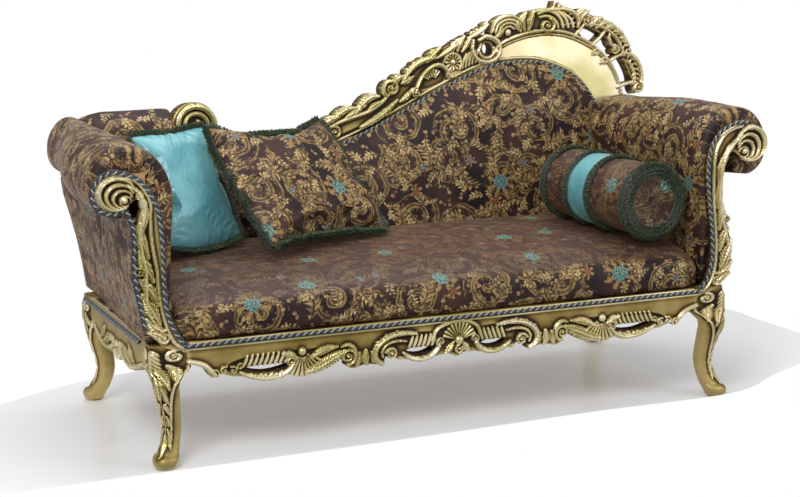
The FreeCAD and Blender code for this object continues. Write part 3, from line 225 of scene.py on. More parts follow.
class Brocade(Finish):
    """Woven brocade: gold, bronze and cream weft figures over an aubergine satin ground.

    The figures are raised a little and catch the light, and the ground keeps a satin sheen.
    """

    slot = "brocade"
    scrolls = Motif(150.0, 0.7, 0.49, ("#2E2016", "#9A7E4C"), 0.0, 1.0)
    fronds = Motif(104.0, 0.85, 0.56, ("#33241A", "#B39460"), 3.7, 0.9)
    leaves = Motif(63.0, 0.95, 0.52, ("#3C2A1C", "#CBAE78"), 9.1, 0.85)
    sprigs = Motif(36.0, 1.0, 0.45, ("#4A3222", "#BB9C6C"), 17.3, 0.62)
    blooms = Motif(270.0, 0.55, 0.17, ("#1E3938", "#7FA296"), 5.5, 0.9)
    berries = Motif(180.0, 0.9, 0.11, ("#52251A", "#A0644A"), 12.9, 0.5)
    stars = Motif(160.0, 0.9, 0.11, ("#2F3644", "#868E98"), 27.4, 0.45)
    # Ribs of 1.1 mm would be too fine to show, so they are drawn at 2.2 mm
    rib_pitch = 2.2
    # Length in metres over which the painted sheen, plainer and paler cloth, sets in
    sheen_fade = 0.035

    def __init__(self, name: str, flat: bool = False, sheen_share: float = 0.0, sheen_from: float = -9.0) -> None:
        """Name the cloth and say how it is laid.

        Args:
            name: The material's name.
            flat: Whether it covers a flat upright panel, which has no cloth places of its own.
            sheen_share: Share of painted sheen over the figures, from 0 to 1; where it lies the cloth shows plainer
                and paler.
            sheen_from: Place up the cloth, in metres, above which the painted sheen lies.
        """
        self.name = name
        self.flat = flat
        self.sheen_share = sheen_share
        self.sheen_from = sheen_from

    def local(self, graph: Graph, cloth: Any, motif: Motif, turning: bool) -> tuple[Any, Any, Any]:
        """Place of a point within its figure.

        Args:
            graph: The material's nodes.
            cloth: Place on the cloth in metres.
            motif: The figure.
            turning: Whether each figure is turned at random.

        Returns:
            The vector from the figure's middle in spacings, a random number, and a second one.
        """
        scaled = graph.add("VectorMath", cloth, (1 / (motif.spacing * MM),) * 3,
                           (motif.shift, motif.shift * 0.7, 0.0), operation="MULTIPLY_ADD")
        voronoi = graph.add("TexVoronoi", scaled, voronoi_dimensions="2D",
                            named={"Scale": 1.0, "Randomness": motif.jitter}).node
        chance = graph.add("SeparateColor", voronoi.outputs["Color"]).node.outputs
        middle = graph.add("VectorMath", scaled, voronoi.outputs["Position"], operation="SUBTRACT")
        if turning:
            angle = graph.add("Math", chance[0], math.tau, operation="MULTIPLY")
            middle = graph.add("VectorRotate", middle, named={"Angle": angle}, rotation_type="Z_AXIS")
        return middle, chance[1], chance[2]

    def frond(self, graph: Graph, cloth: Any, motif: Motif, bend: float, lobes: float,
              width: float) -> tuple[Any, Any]:
        """A bent leaf with a notched edge and a vein.

        Args:
            graph: The material's nodes.
            cloth: Place on the cloth in metres.
            motif: The figure.
            bend: How far its tip curls, in spacings.
            lobes: Notches along its length.
            width: Half width as a share of its half length.

        Returns:
            How much of the leaf covers the point, and its shade from 0 to 1.
        """
        middle, chance, other = self.local(graph, cloth, motif, True)
        parts = graph.add("SeparateXYZ", middle).node.outputs
        along = graph.add("Math", parts[0], 1.0 / motif.size, operation="MULTIPLY")
        square = graph.add("Math", along, along, operation="MULTIPLY")
        across = graph.add("Math", square, -bend, parts[1], operation="MULTIPLY_ADD")
        across = graph.add("Math", across, bend * 0.5, operation="ADD")
        across = graph.add("Math", across, operation="ABSOLUTE")
        notch = graph.add("Math", graph.add("Math", along, across, operation="SUBTRACT"), lobes * math.tau,
                          operation="MULTIPLY")
        notch = graph.add("Math", graph.add("Math", notch, operation="SINE"), 0.26, 0.74, operation="MULTIPLY_ADD")
        body = graph.add("Math", 1.0, square, operation="SUBTRACT")
        reach = graph.add("Math", graph.add("Math", body, notch, operation="MULTIPLY"), width * motif.size,
                          operation="MULTIPLY")
        depth = graph.add("Math", reach, across, operation="SUBTRACT")
        cover = graph.add("MapRange", depth, 0.0, 0.02, 0.0, 1.0)
        kept = graph.add("Math", chance, motif.share, operation="LESS_THAN")
        cover = graph.add("Math", cover, kept, operation="MULTIPLY")
        vein = graph.add("MapRange", across, 0.0, 0.05, 0.0, 1.0)
        outline = graph.add("MapRange", depth, 0.01, 0.075, 0.0, 1.0)
        shade = graph.add("Math", notch, graph.add("Math", vein, outline, operation="MULTIPLY"),
                          operation="MULTIPLY")
        shade = graph.add("Math", other, 0.3, graph.add("Math", shade, 0.85, operation="MULTIPLY"),
                          operation="MULTIPLY_ADD")
        shade = graph.add("Math", shade, outline, operation="MULTIPLY")
        return cover, shade

    def scroll(self, graph: Graph, cloth: Any, motif: Motif) -> tuple[Any, Any]:
        """A stem that winds inwards with leaflets on its outer side.

        Args:
            graph: The material's nodes.
            cloth: Place on the cloth in metres.
            motif: The figure.

        Returns:
            How much of the stem covers the point, and its shade from 0 to 1.
        """
        middle, _, other = self.local(graph, cloth, motif, True)
        parts = graph.add("SeparateXYZ", middle).node.outputs
        radius = graph.add("VectorMath", middle, operation="LENGTH", out="Value")
        angle = graph.add("Math", parts[1], parts[0], operation="ARCTAN2")
        turn = graph.add("Math", angle, 1 / math.tau, operation="MULTIPLY")
        wound = graph.add("Math", radius, -1.0 / (motif.size * 0.5), turn, operation="MULTIPLY_ADD")
        coil = graph.add("Math", wound, operation="FRACT")
        frill = graph.add("Math", angle, 11.0, operation="MULTIPLY")
        frill = graph.add("Math", graph.add("Math", frill, operation="SINE"), 0.12, 0.54, operation="MULTIPLY_ADD")
        band = graph.add("Math", frill, coil, operation="SUBTRACT")
        cover = graph.add("MapRange", band, 0.0, 0.05, 0.0, 1.0)
        inside = graph.add("Math", radius, motif.size, operation="LESS_THAN")
        cover = graph.add("Math", cover, inside, operation="MULTIPLY")
        ribs = graph.add("Math", graph.add("Math", coil, 22.0, operation="MULTIPLY"), operation="SINE")
        shade = graph.add("Math", ribs, 0.4, 0.5, operation="MULTIPLY_ADD")
        shade = graph.add("Math", other, 0.2, shade, operation="MULTIPLY_ADD")
        return cover, shade

    def bloom(self, graph: Graph, cloth: Any, motif: Motif, petals: float) -> tuple[Any, Any, Any]:
        """A round flower: a speckled heart inside a ring of petals.

        Args:
            graph: The material's nodes.
            cloth: Place on the cloth in metres.
            motif: The figure.
            petals: Number of petals.

        Returns:
            Cover of the petals, cover of the heart, and shade from 0 to 1.
        """
        middle, chance, _ = self.local(graph, cloth, motif, False)
        parts = graph.add("SeparateXYZ", middle).node.outputs
        radius = graph.add("VectorMath", middle, operation="LENGTH", out="Value")
        angle = graph.add("Math", parts[1], parts[0], operation="ARCTAN2")
        wave = graph.add("Math", angle, petals / 2, operation="MULTIPLY")
        wave = graph.add("Math", graph.add("Math", wave, operation="SINE"), operation="ABSOLUTE")
        edge = graph.add("Math", wave, motif.size * 0.4, motif.size * 0.62, operation="MULTIPLY_ADD")
        kept = graph.add("Math", chance, motif.share, operation="LESS_THAN")
        petal = graph.add("Math", radius, edge, operation="LESS_THAN")
        petal = graph.add("Math", petal, kept, operation="MULTIPLY")
        heart = graph.add("Math", radius, motif.size * 0.5, operation="LESS_THAN")
        heart = graph.add("Math", heart, kept, operation="MULTIPLY")
        return petal, heart, wave

    def surface(self, graph: Graph) -> Any:
        """Lay the figures over the ground, the largest lowest, and raise them a little."""
        if self.flat:
            parts = graph.add("SeparateXYZ", graph.add("TexCoord", out="Object")).node.outputs
            cloth = graph.add("CombineXYZ", graph.add("Math", parts[0], parts[1], operation="ADD"), parts[2], 0.0)
        else:
            cloth = graph.add("UVMap", uv_map="cloth")
        wobble = graph.add("TexNoise", cloth, out="Color", noise_dimensions="2D",
                           named={"Scale": 26.0, "Detail": 1.0})
        wobble = graph.add("VectorMath", wobble, (0.5, 0.5, 0.5), operation="SUBTRACT")
        bent = graph.add("VectorMath", wobble, (0.011,) * 3, cloth, operation="MULTIPLY_ADD")
        speckle, stipple, patch, thread = (
            graph.add("TexNoise", cloth, noise_dimensions="2D", named={"Scale": scale, "Detail": 2.0})
            for scale in (520.0, 230.0, 7.0, 48.0))
        colour = graph.add("ValToRGB", patch, stops=[(0.35, "#1E0F13"), (0.5, "#301B1B"), (0.68, "#452C28")])
        raised: Any = 0.0
        layers = [(self.scrolls, *self.scroll(graph, bent, self.scrolls)),
                  (self.fronds, *self.frond(graph, bent, self.fronds, 0.5, 4.0, 0.5)),
                  (self.leaves, *self.frond(graph, bent, self.leaves, 0.3, 3.0, 0.52)),
                  (self.sprigs, *self.frond(graph, bent, self.sprigs, 0.1, 1.0, 0.5))]
        for motif, cover, shade in layers:
            lit = graph.add("Math", shade, graph.add("MapRange", thread, 0.38, 0.62, 0.5, 1.15),
                            operation="MULTIPLY")
            tone = graph.add("ValToRGB", lit, stops=[(0.1, motif.shade[0]), (0.9, motif.shade[1])])
            colour = graph.add("MixRGB", cover, colour, tone)
            raised = graph.add("Math", raised, cover, operation="MAXIMUM")
        # Painted sheen: past a place up the cloth the figures fade under a paler mauve ground, which stands in for
        # the satin sheen that hides them at a glancing view
        plain_sheen: Any = 0.0
        if self.sheen_share:
            ground = graph.add("ValToRGB", stipple, stops=[(0.3, "#35231F"), (0.55, "#523A33"), (0.8, "#6E5548")])
            place = graph.add("SeparateXYZ", cloth).node.outputs[1]
            place = graph.add("Math", patch, 0.04, place, operation="MULTIPLY_ADD")
            plain_sheen = graph.add("MapRange", place, self.sheen_from, self.sheen_from + self.sheen_fade, 0.0, self.sheen_share)
            colour = graph.add("MixRGB", plain_sheen, colour, ground)
        for motif, petals in ((self.blooms, 8.0), (self.berries, 6.0), (self.stars, 7.0)):
            petal, heart, wave = self.bloom(graph, bent, motif, petals)
            wave = graph.add("Math", wave, graph.add("MapRange", stipple, 0.35, 0.65, 0.55, 1.1),
                             operation="MULTIPLY")
            outer = graph.add("ValToRGB", wave, stops=[(0.3, "#241812"), (0.55, "#6E5534"), (0.97, "#B4945E")])
            inner = graph.add("ValToRGB", stipple, stops=[(0.42, motif.shade[0]), (0.56, motif.shade[1])])
            # Petals fade under the painted sheen as well; the hearts stay
            shown = graph.add("Math", petal, graph.add("Math", 1.0, plain_sheen, operation="SUBTRACT"),
                              operation="MULTIPLY")
            colour = graph.add("MixRGB", shown, colour, outer)
            colour = graph.add("MixRGB", heart, colour, inner)
            raised = graph.add("Math", raised, petal, operation="MAXIMUM")
        rib = graph.add("TexWave", cloth, wave_type="BANDS", bands_direction="X",
                        named={"Scale": 1 / (self.rib_pitch * MM) / math.tau, "Distortion": 0.4, "Detail": 1.0})
        weave = graph.add("MapRange", speckle, 0.3, 0.7, 0.78, 1.16)
        colour = graph.add("MixRGB", 1.0, colour, weave, blend_type="MULTIPLY")
        height = graph.add("Math", rib, 0.22, raised, operation="MULTIPLY_ADD")
        bump = graph.add("Bump", 0.5, 0.0009, None, height)
        rough = graph.add("MapRange", raised, 0.0, 1.0, 0.56, 0.46)
        return graph.add("BsdfPrincipled", colour, named={
            "Roughness": rough, "Normal": bump, "Sheen Weight": 0.4, "Sheen Roughness": 0.38,
            "Sheen Tint": linear("#B08E80"), "Specular IOR Level": 0.32})


class Satin(Finish):
    """Turquoise silk satin with a soft, broad shine that follows its folds."""

    name = "turquoise_satin"
    slot = "satin"

    def surface(self, graph: Graph) -> Any:
        """One colour, a little mottled, with fine crossing threads."""
        place = graph.add("TexCoord", out="Object")
        patch = graph.add("TexNoise", place, named={"Scale": 14.0, "Detail": 3.0})
        colour = graph.add("ValToRGB", patch, stops=[(0.3, "#5C9EA8"), (0.55, "#6FB0B8"), (0.75, "#83C0C6")])
        thread = graph.add("TexNoise", place, named={"Scale": 900.0, "Detail": 1.0})
        bump = graph.add("Bump", 0.10, 0.0003, None, thread)
        return graph.add("BsdfPrincipled", colour, named={
            "Roughness": 0.3, "Normal": bump, "Sheen Weight": 0.5, "Sheen Roughness": 0.28,
            "Sheen Tint": linear("#D8FFFA"), "Specular IOR Level": 0.55, "Anisotropic": 0.3})


class Cord(Finish):
    """Twisted gimp of navy and green-black rayon, which glints silver-blue along each strand."""

    name = "navy_twisted_cord"
    slot = "cord"

    def surface(self, graph: Graph) -> Any:
        """One strand dark and one pale, painted as the silver-blue glint, both of fine plies."""
        place = graph.add("TexCoord", out="Object")
        ply = graph.add("TexNoise", place, named={"Scale": 420.0, "Detail": 2.0})
        strand = graph.add("Attribute", out="Fac", attribute_name="strand")
        dark = graph.add("ValToRGB", ply, stops=[(0.3, "#07090E"), (0.6, "#151D27"), (0.8, "#2E3944")])
        # The pale strand is a painted highlight: it stands for the silver-blue glint on the dark rayon
        pale = graph.add("ValToRGB", ply, stops=[(0.3, "#5C6163"), (0.6, "#A3A8A8"), (0.8, "#DCDDD8")])
        colour = graph.add("MixRGB", strand, dark, pale)
        bump = graph.add("Bump", 0.4, 0.0006, None, ply)
        return graph.add("BsdfPrincipled", colour, named={
            "Roughness": 0.38, "Normal": bump, "Sheen Weight": 0.3, "Specular IOR Level": 0.55})


class Fringe(Finish):
    """Cut chenille fringe, bottle green with olive and gold ends."""

    name = "green_chenille_fringe"
    slot = "fringe"

    def surface(self, graph: Graph) -> Any:
        """Tufts of three greens with sparse gold, matt as pile is."""
        place = graph.add("TexCoord", out="Object")
        tuft = graph.add("TexNoise", place, named={"Scale": 150.0, "Detail": 3.0, "Roughness": 0.7})
        colour = graph.add("ValToRGB", tuft, stops=[
            (0.3, "#0C1710"), (0.46, "#1E3320"), (0.58, "#3D4F2A"), (0.68, "#7C7A3C"), (0.78, "#A9A067")])
        bump = graph.add("Bump", 0.7, 0.002, None, tuft)
        return graph.add("BsdfPrincipled", colour, named={
            "Roughness": 0.82, "Normal": bump, "Sheen Weight": 0.5, "Sheen Roughness": 0.5})


class CarcassWood(Finish):
    """Sawn beech of the hidden frame: pale tan with fine dark flecks, unpolished."""

    name = "sawn_beech"
    slot = "carcass_wood"

    def surface(self, graph: Graph) -> Any:
        """Stretched noise for the grain, matt."""
        place = graph.add("TexCoord", out="Object")
        along = graph.add("Mapping", place, named={"Scale": (3.0, 40.0, 40.0)})
        grain = graph.add("TexNoise", along, named={"Scale": 2.0, "Detail": 6.0, "Distortion": 0.4})
        colour = graph.add("ValToRGB", grain, stops=[(0.3, "#8A6440"), (0.5, "#B18A5E"), (0.7, "#CBA678")])
        bump = graph.add("Bump", 0.2, 0.001, None, grain)
        return graph.add("BsdfPrincipled", colour, named={"Roughness": 0.66, "Normal": bump})


@dataclass(frozen=True)
class Weave:
    """A plain woven cloth and its two tones.

    Attributes:
        name: The material's name.
        slot: The finish's name in the record.
        tones: Hex colours of the dark and the light thread.
        threads: Threads to the metre; too fine to show at their true 900 and more, so drawn coarser.
        rough: Roughness of the cloth.
    """

    name: str
    slot: str
    tones: tuple[str, str]
    threads: float
    rough: float


class PlainCloth(Finish):
    """Undyed working cloth: hessian, webbing, lining, foam or stuffing, all matt."""

    def __init__(self, weave: Weave) -> None:
        """Take the cloth's weave and its names.

        Args:
            weave: Colours and scale of the cloth, and its names.
        """
        self.weave = weave
        self.name = weave.name
        self.slot = weave.slot

    def surface(self, graph: Graph) -> Any:
        """Two crossing waves as warp and weft, broken by noise."""
        place = graph.add("TexCoord", out="Object")
        scale = self.weave.threads / math.tau
        warp = graph.add("TexWave", place, bands_direction="X", named={"Scale": scale, "Distortion": 1.0})
        weft = graph.add("TexWave", place, bands_direction="Y", named={"Scale": scale, "Distortion": 1.0})
        slub = graph.add("TexNoise", place, named={"Scale": 60.0, "Detail": 4.0})
        cross = graph.add("Math", warp, weft, operation="MULTIPLY")
        mixed = graph.add("Math", cross, 0.4, graph.add("Math", slub, 0.6, operation="MULTIPLY"),
                          operation="MULTIPLY_ADD")
        colour = graph.add("ValToRGB", mixed, stops=[(0.2, self.weave.tones[0]), (0.7, self.weave.tones[1])])
        bump = graph.add("Bump", 0.3, 0.0008, None, mixed)
        return graph.add("BsdfPrincipled", colour, named={"Roughness": self.weave.rough, "Normal": bump})


class Glide(Finish):
    """Moulded black-brown glide under the foot: matt plastic, scuffed."""

    name = "moulded_glide"
    slot = "glide"

    def surface(self, graph: Graph) -> Any:
        """One dark colour, dulled unevenly by scuffs."""
        place = graph.add("TexCoord", out="Object")
        wear = graph.add("TexNoise", place, named={"Scale": 90.0})
        rough = graph.add("MapRange", wear, 0.3, 0.7, 0.45, 0.7)
        return graph.add("BsdfPrincipled", linear("#221C18"), named={"Roughness": rough})


class GlossFloor(Finish):
    """Glossy pale studio floor that takes a faint mirror image and a soft shadow."""

    name = "pale_studio_floor"

    def surface(self, graph: Graph) -> Any:
        """Pale paint under a clear coat."""
        return graph.add("BsdfPrincipled", linear("#F6F7F9"), named={
            "Roughness": 0.24, "Specular IOR Level": 0.45, "Emission Color": linear("#FFFFFF"),
            "Emission Strength": 0.1})


@dataclass
class Palette:
    """Every finish of the chaise, each made at most once.

    The attributes are named for what they cover, apart from the bolster's brocade, which lies plainer and paler under
    the same painted sheen as the seat.
    """

    carved: Finish = field(default_factory=lambda: Gilding("gilt_carving", True))
    gilt: Finish = field(default_factory=lambda: Gilding("gilt_member", False))
    brocade: Finish = field(default_factory=lambda: Brocade("gold_brocade"))
    panel: Finish = field(default_factory=lambda: Brocade("gold_brocade_panel", flat=True))
    seat: Finish = field(default_factory=lambda: Brocade("gold_brocade_seat", sheen_share=0.72, sheen_from=0.1))
    plain_sheen: Finish = field(default_factory=lambda: Brocade("gold_brocade_quiet", sheen_share=0.66))
    satin: Finish = field(default_factory=Satin)
    cord: Finish = field(default_factory=Cord)
    fringe: Finish = field(default_factory=Fringe)
    wood: Finish = field(default_factory=CarcassWood)
    glide: Finish = field(default_factory=Glide)
    floor: Finish = field(default_factory=GlossFloor)
    hessian: Finish = field(default_factory=lambda: PlainCloth(
        Weave("jute_hessian", "hessian", ("#6E5636", "#B59A6C"), 420.0, 0.9)))
    webbing: Finish = field(default_factory=lambda: PlainCloth(
        Weave("jute_webbing", "webbing", ("#7A6342", "#C8B086"), 300.0, 0.88)))
    foam: Finish = field(default_factory=lambda: PlainCloth(
        Weave("cream_foam", "foam", ("#CBBE96", "#E8DEBB"), 160.0, 0.95)))
    filling: Finish = field(default_factory=lambda: PlainCloth(
        Weave("feather_filling", "filling", ("#D9D4C6", "#F1EEE4"), 220.0, 0.95)))


# Meshes


def linked(name: str, data: Any) -> bpy.types.Object:
    """Make an object and link it to the scene.

    Args:
        name: The object's name.
        data: Its mesh, lamp or camera.

    Returns:
        The object.
    """
    made = bpy.data.objects.new(name, data)
    bpy.context.scene.collection.objects.link(made)
    return made


def points_of(built: bpy.types.Object) -> np.ndarray:
    """Places of a mesh object's corners, one row each.

    Args:
        built: The mesh object.

    Returns:
        Where its corners are, one row each.
    """
    return np.array([v.co for v in built.data.vertices])


def move_points(built: bpy.types.Object, points: np.ndarray) -> None:
    """Put the corners of a mesh object in new places.

    Args:
        built: The mesh object.
        points: One row for each corner.
    """
    built.data.vertices.foreach_set("co", points.ravel())
    built.data.update()


def mark(built: bpy.types.Object, name: str, values: Any) -> None:
    """Store numbers that a finish reads.

    Args:
        built: The mesh object.
        name: Name that the finish asks for.
        values: One number for each corner.
    """
    built.data.attributes.new(name, "FLOAT", "POINT").data.foreach_set("value", values)


def lay_cloth(built: bpy.types.Object, places: Any) -> None:
    """Lay a mesh object's faces out on the cloth.

    Args:
        built: The mesh object.
        places: Place on the cloth of each face corner, in metres.
    """
    built.data.uv_layers.new(name="cloth").data.foreach_set("uv", np.asarray(places, dtype=float).ravel())


def tube(rings: int, around: int, start: int = 0) -> list[tuple[int, ...]]:
    """Join closed rings of points, one after the other, and close both ends.

    Args:
        rings: Number of rings.
        around: Points on each ring.
        start: Number of the first point.

    Returns:
        Corner numbers of each face.
    """
    corner = lambda ring, place: start + ring * around + place % around
    sides = [(corner(r, c), corner(r, c + 1), corner(r + 1, c + 1), corner(r + 1, c))
             for r in range(rings - 1) for c in range(around)]
    first, last = ([corner(r, c) for c in range(around)] for r in (0, rings - 1))
    return [*sides, tuple(first[::-1]), tuple(last)]


def smooth_object(name: str, points: Any, faces: Iterable[Sequence[int]], finish: Finish,
                  fine: float = 0.7) -> bpy.types.Object:
    """Make an object from points and faces, in metres, whose faces shade into each other.

    Args:
        name: The object's name.
        points: Corner places.
        faces: Corner numbers of each face.
        finish: The finish it wears.
        fine: Angle in radians above which an edge stays sharp.

    Returns:
        The object, linked to the scene.
    """
    mesh = bpy.data.meshes.new(name)
    mesh.from_pydata([tuple(point) for point in np.asarray(points, dtype=float)], [], [tuple(f) for f in faces])
    mesh.validate()
    mesh.update()
    built = linked(name, mesh)
    mesh.materials.append(finish.material())
    mesh.polygons.foreach_set("use_smooth", [True] * len(mesh.polygons))
    mesh.set_sharp_from_angle(angle=fine)
    return built


def outward(built: bpy.types.Object) -> bpy.types.Object:
    """Turn every face of a closed mesh outwards.

    Args:
        built: The mesh object.

    Returns:
        The same object.
    """
    work = bmesh.new()
    work.from_mesh(built.data)
    bmesh.ops.recalc_face_normals(work, faces=work.faces)
    work.to_mesh(built.data)
    work.free()
    return built


def ease(points: Points, step: float, closed: bool = False) -> np.ndarray:
    """Run a smooth curve through points, in the points' own units.

    Args:
        points: Corners that the curve passes through; any number of columns.
        step: Distance between the points given back.
        closed: Whether the curve comes back to its start.

    Returns:
        One row for each point along the curve.
    """
    knots = np.array(points, dtype=float)
    if closed:
        padded = np.vstack([knots[-1], knots, knots[0], knots[1]])
    else:
        padded = np.vstack([2 * knots[0] - knots[1], knots, 2 * knots[-1] - knots[-2]])
    runs = []
    for place in range(len(padded) - 3):
        before, start, end, after = padded[place : place + 4]
        count = max(2, int(np.ceil(np.linalg.norm((end - start)[:2]) / step)) + 1)
        t = np.linspace(0, 1, count)[:-1, None]
        # Uniform weights do here, since the tables' points are spaced fairly evenly
        runs.append(0.5 * (2 * start + (end - before) * t + (2 * before - 5 * start + 4 * end - after) * t**2
                           + (3 * start - before - 3 * end + after) * t**3))
    if not closed:
        runs.append(knots[-1:])
    return np.vstack(runs)


def inside(polygon: np.ndarray, x: np.ndarray, z: np.ndarray) -> np.ndarray:
    """Tell which grid points lie within a closed outline.

    Args:
        polygon: Corners of the outline.
        x: Grid across.
        z: Grid up.

    Returns:
        True where a point lies within.
    """
    hit = np.zeros(x.shape, dtype=bool)
    x0, z0 = polygon[:, 0], polygon[:, 1]
    x1, z1 = np.roll(x0, -1), np.roll(z0, -1)
    for ax, az, bx, bz in zip(x0, z0, x1, z1):
        if az == bz:
            continue
        cross = (az > z) != (bz > z)
        hit ^= cross & (x < (bx - ax) * (z - az) / (bz - az) + ax)
    return hit


def distance(curve: np.ndarray, x: np.ndarray, z: np.ndarray, closed: bool = False) -> tuple[np.ndarray, ...]:
    """Measure each grid point to a curve.

    Args:
        curve: Points of the curve: across, up and any more columns to interpolate.
        x: Grid across.
        z: Grid up.
        closed: Whether the curve comes back to its start.

    Returns:
        Distance, place along the curve in its units, and the interpolated extra columns.
    """
    ends = np.roll(curve, -1, axis=0) if closed else curve[1:]
    starts = curve if closed else curve[:-1]
    spans = np.linalg.norm((ends - starts)[:, :2], axis=1)
    reach = np.concatenate([[0.0], np.cumsum(spans)])
    best = np.full(x.shape, np.inf)
    along = np.zeros(x.shape)
    extra = [np.zeros(x.shape) for _ in range(curve.shape[1] - 2)]
    for number, (start, end) in enumerate(zip(starts, ends)):
        dx, dz = end[0] - start[0], end[1] - start[1]
        square = dx * dx + dz * dz
        if square < 1e-12:
            continue
        t = np.clip(((x - start[0]) * dx + (z - start[1]) * dz) / square, 0, 1)
        far = np.hypot(x - start[0] - t * dx, z - start[1] - t * dz)
        near = far < best
        best = np.where(near, far, best)
        along = np.where(near, reach[number] + t * spans[number], along)
        for column, held in enumerate(extra):
            held[near] = (start[2 + column] + t * (end[2 + column] - start[2 + column]))[near]
    return (best, along, *extra)


# Carving


@dataclass(frozen=True)
class Tool:
    """How a stroke of carving is cut.

    Attributes:
        crown: Roundness of the section: 1 is a half ellipse, above 1 more pointed.
        grooves: Depth of a groove along each flank, as a share of the height.
        frill: How far the lobes push the edge, as a share of the radius.
        pitch: Length of a lobe or flute in radii.
        slant: How far flutes lean back from the middle, in radii.
        flute: Depth of the flutes as a share of the height.
        rib: Height of a rib along the middle, as a share of the height.
    """

    crown: float = 1.0
    grooves: float = 0.0
    frill: float = 0.0
    pitch: float = 1.0
    slant: float = 0.0
    flute: float = 0.0
    rib: float = 0.0


class Cut(Enum):
    """The tools used over the whole piece."""

    STEM = Tool(grooves=0.34, rib=0.1)
    SCROLL = Tool(grooves=0.42, frill=0.10, pitch=1.5, slant=0.6, flute=0.12)
    LEAF = Tool(crown=1.1, frill=0.42, pitch=0.78, slant=1.3, flute=0.5, rib=0.22)
    FROND = Tool(crown=1.0, frill=0.30, pitch=0.62, slant=1.0, flute=0.42, rib=0.16)
    FLUTE = Tool(crown=0.8)
    BOSS = Tool(crown=1.0)


@dataclass(frozen=True)
class Stroke:
    """One stroke of carving along a smooth line.

    Attributes:
        cut: The tool.
        height: How far its crown stands above the ground, in millimetres.
        line: Points across, up and half width, in millimetres.
    """

    cut: Cut
    height: float
    line: tuple[tuple[float, float, float], ...]


def cuts(cut: Cut, *rows: Sequence[float], tip: float = 0.45, tail: float = 0.45) -> list[Stroke]:
    """Lay strokes of one cut, each fullest in the middle.

    Args:
        cut: The tool.
        rows: For each stroke the height of its crown and its greatest half width in
            millimetres, then the points it runs through, across and up in turn.
        tip: Half width at the end, as a share of the greatest.
        tail: The same at the start.

    Returns:
        The strokes.
    """
    made = []
    for height, width, *points in rows:
        pairs = list(zip(points[::2], points[1::2]))
        line = []
        for number, (x, z) in enumerate(pairs):
            t = number / (len(pairs) - 1)
            ends = tail * (1 - t) + tip * t
            line.append((x, z, width * (ends + (1 - ends) * math.sin(math.pi * t) ** 0.7)))
        made.append(Stroke(cut, height, tuple(line)))
    return made


def coil(x: float, z: float, radius: float, start: float, turns: float, height: float = 9.0,
         thick: float = 0.3) -> list[Stroke]:
    """Wind a scroll inwards to its eye.

    Args:
        x: Middle of the scroll, across.
        z: Middle of the scroll, up.
        radius: Distance from the middle to the scroll's outer line.
        start: Angle in degrees where it starts.
        turns: Turns it makes; negative ones go clockwise.
        height: Height of its crown in millimetres.
        thick: Half width of the outer coil, as a share of the radius.

    Returns:
        The coil and its eye.
    """
    line = []
    steps = max(6, int(abs(turns) * 12))
    for number in range(steps + 1):
        t = number / steps
        angle = math.radians(start + 360 * turns * t)
        reach = radius * (1 - 0.74 * t**0.8)
        line.append((x + reach * math.cos(angle), z + reach * math.sin(angle), radius * thick * (1 - 0.5 * t)))
    return [Stroke(Cut.STEM, height, tuple(line)), boss(x, z, radius * 0.24, height * 1.1)]


def coils(*rows: Sequence[float]) -> list[Stroke]:
    """Wind several scrolls, each row holding what coil takes.

    Args:
        rows: What coil takes, one row for each scroll.

    Returns:
        Their strokes.
    """
    return [made for row in rows for made in coil(*row)]


def boss(x: float, z: float, radius: float, height: float) -> Stroke:
    """Set a round bead or eye.

    Args:
        x: Its middle, across.
        z: Its middle, up.
        radius: Radius in millimetres.
        height: Height of its crown in millimetres.

    Returns:
        The bead, as a stroke that hardly moves.
    """
    return Stroke(Cut.BOSS, height, ((x, z, radius), (x + 0.01, z, radius)))


def arc(x: float, z: float, across: float, up: float, angles: Iterable[float]) -> list[float]:
    """Place points on an ellipse.

    Args:
        x: Its middle, across.
        z: Its middle, up.
        across: Half width.
        up: Half height.
        angles: Where the points lie, in degrees.

    Returns:
        Across and up of each point, in turn.
    """
    return [value for angle in map(math.radians, angles)
            for value in (x + across * math.cos(angle), z + up * math.sin(angle))]


def rays(x: float, z: float, inner: float, outer: float, first: float, last: float, count: int,
         height: float = 5.0, fat: float = 0.36) -> list[Stroke]:
    """Fan flutes out from a point, as in a shell or a spray.

    Args:
        x: Middle of the fan, across.
        z: Middle of the fan, up.
        inner: Distance from the middle to where the flutes start.
        outer: Distance to where they end.
        first: Angle of the first flute in degrees.
        last: Angle of the last one.
        count: Number of flutes.
        height: Height of their crowns in millimetres.
        fat: Half width at the outer end, as a share of the spacing.

    Returns:
        The flutes.
    """
    made = []
    for number in range(count):
        angle = math.radians(first + (last - first) * number / (count - 1))
        wide = fat * outer * math.radians(abs(last - first)) / (count - 1)
        made.append(Stroke(Cut.FLUTE, height, tuple(
            (x + reach * math.cos(angle), z + reach * math.sin(angle), max(1.2, wide * reach / outer))
            for reach in (inner, (inner + outer) / 2, outer))))
    return made


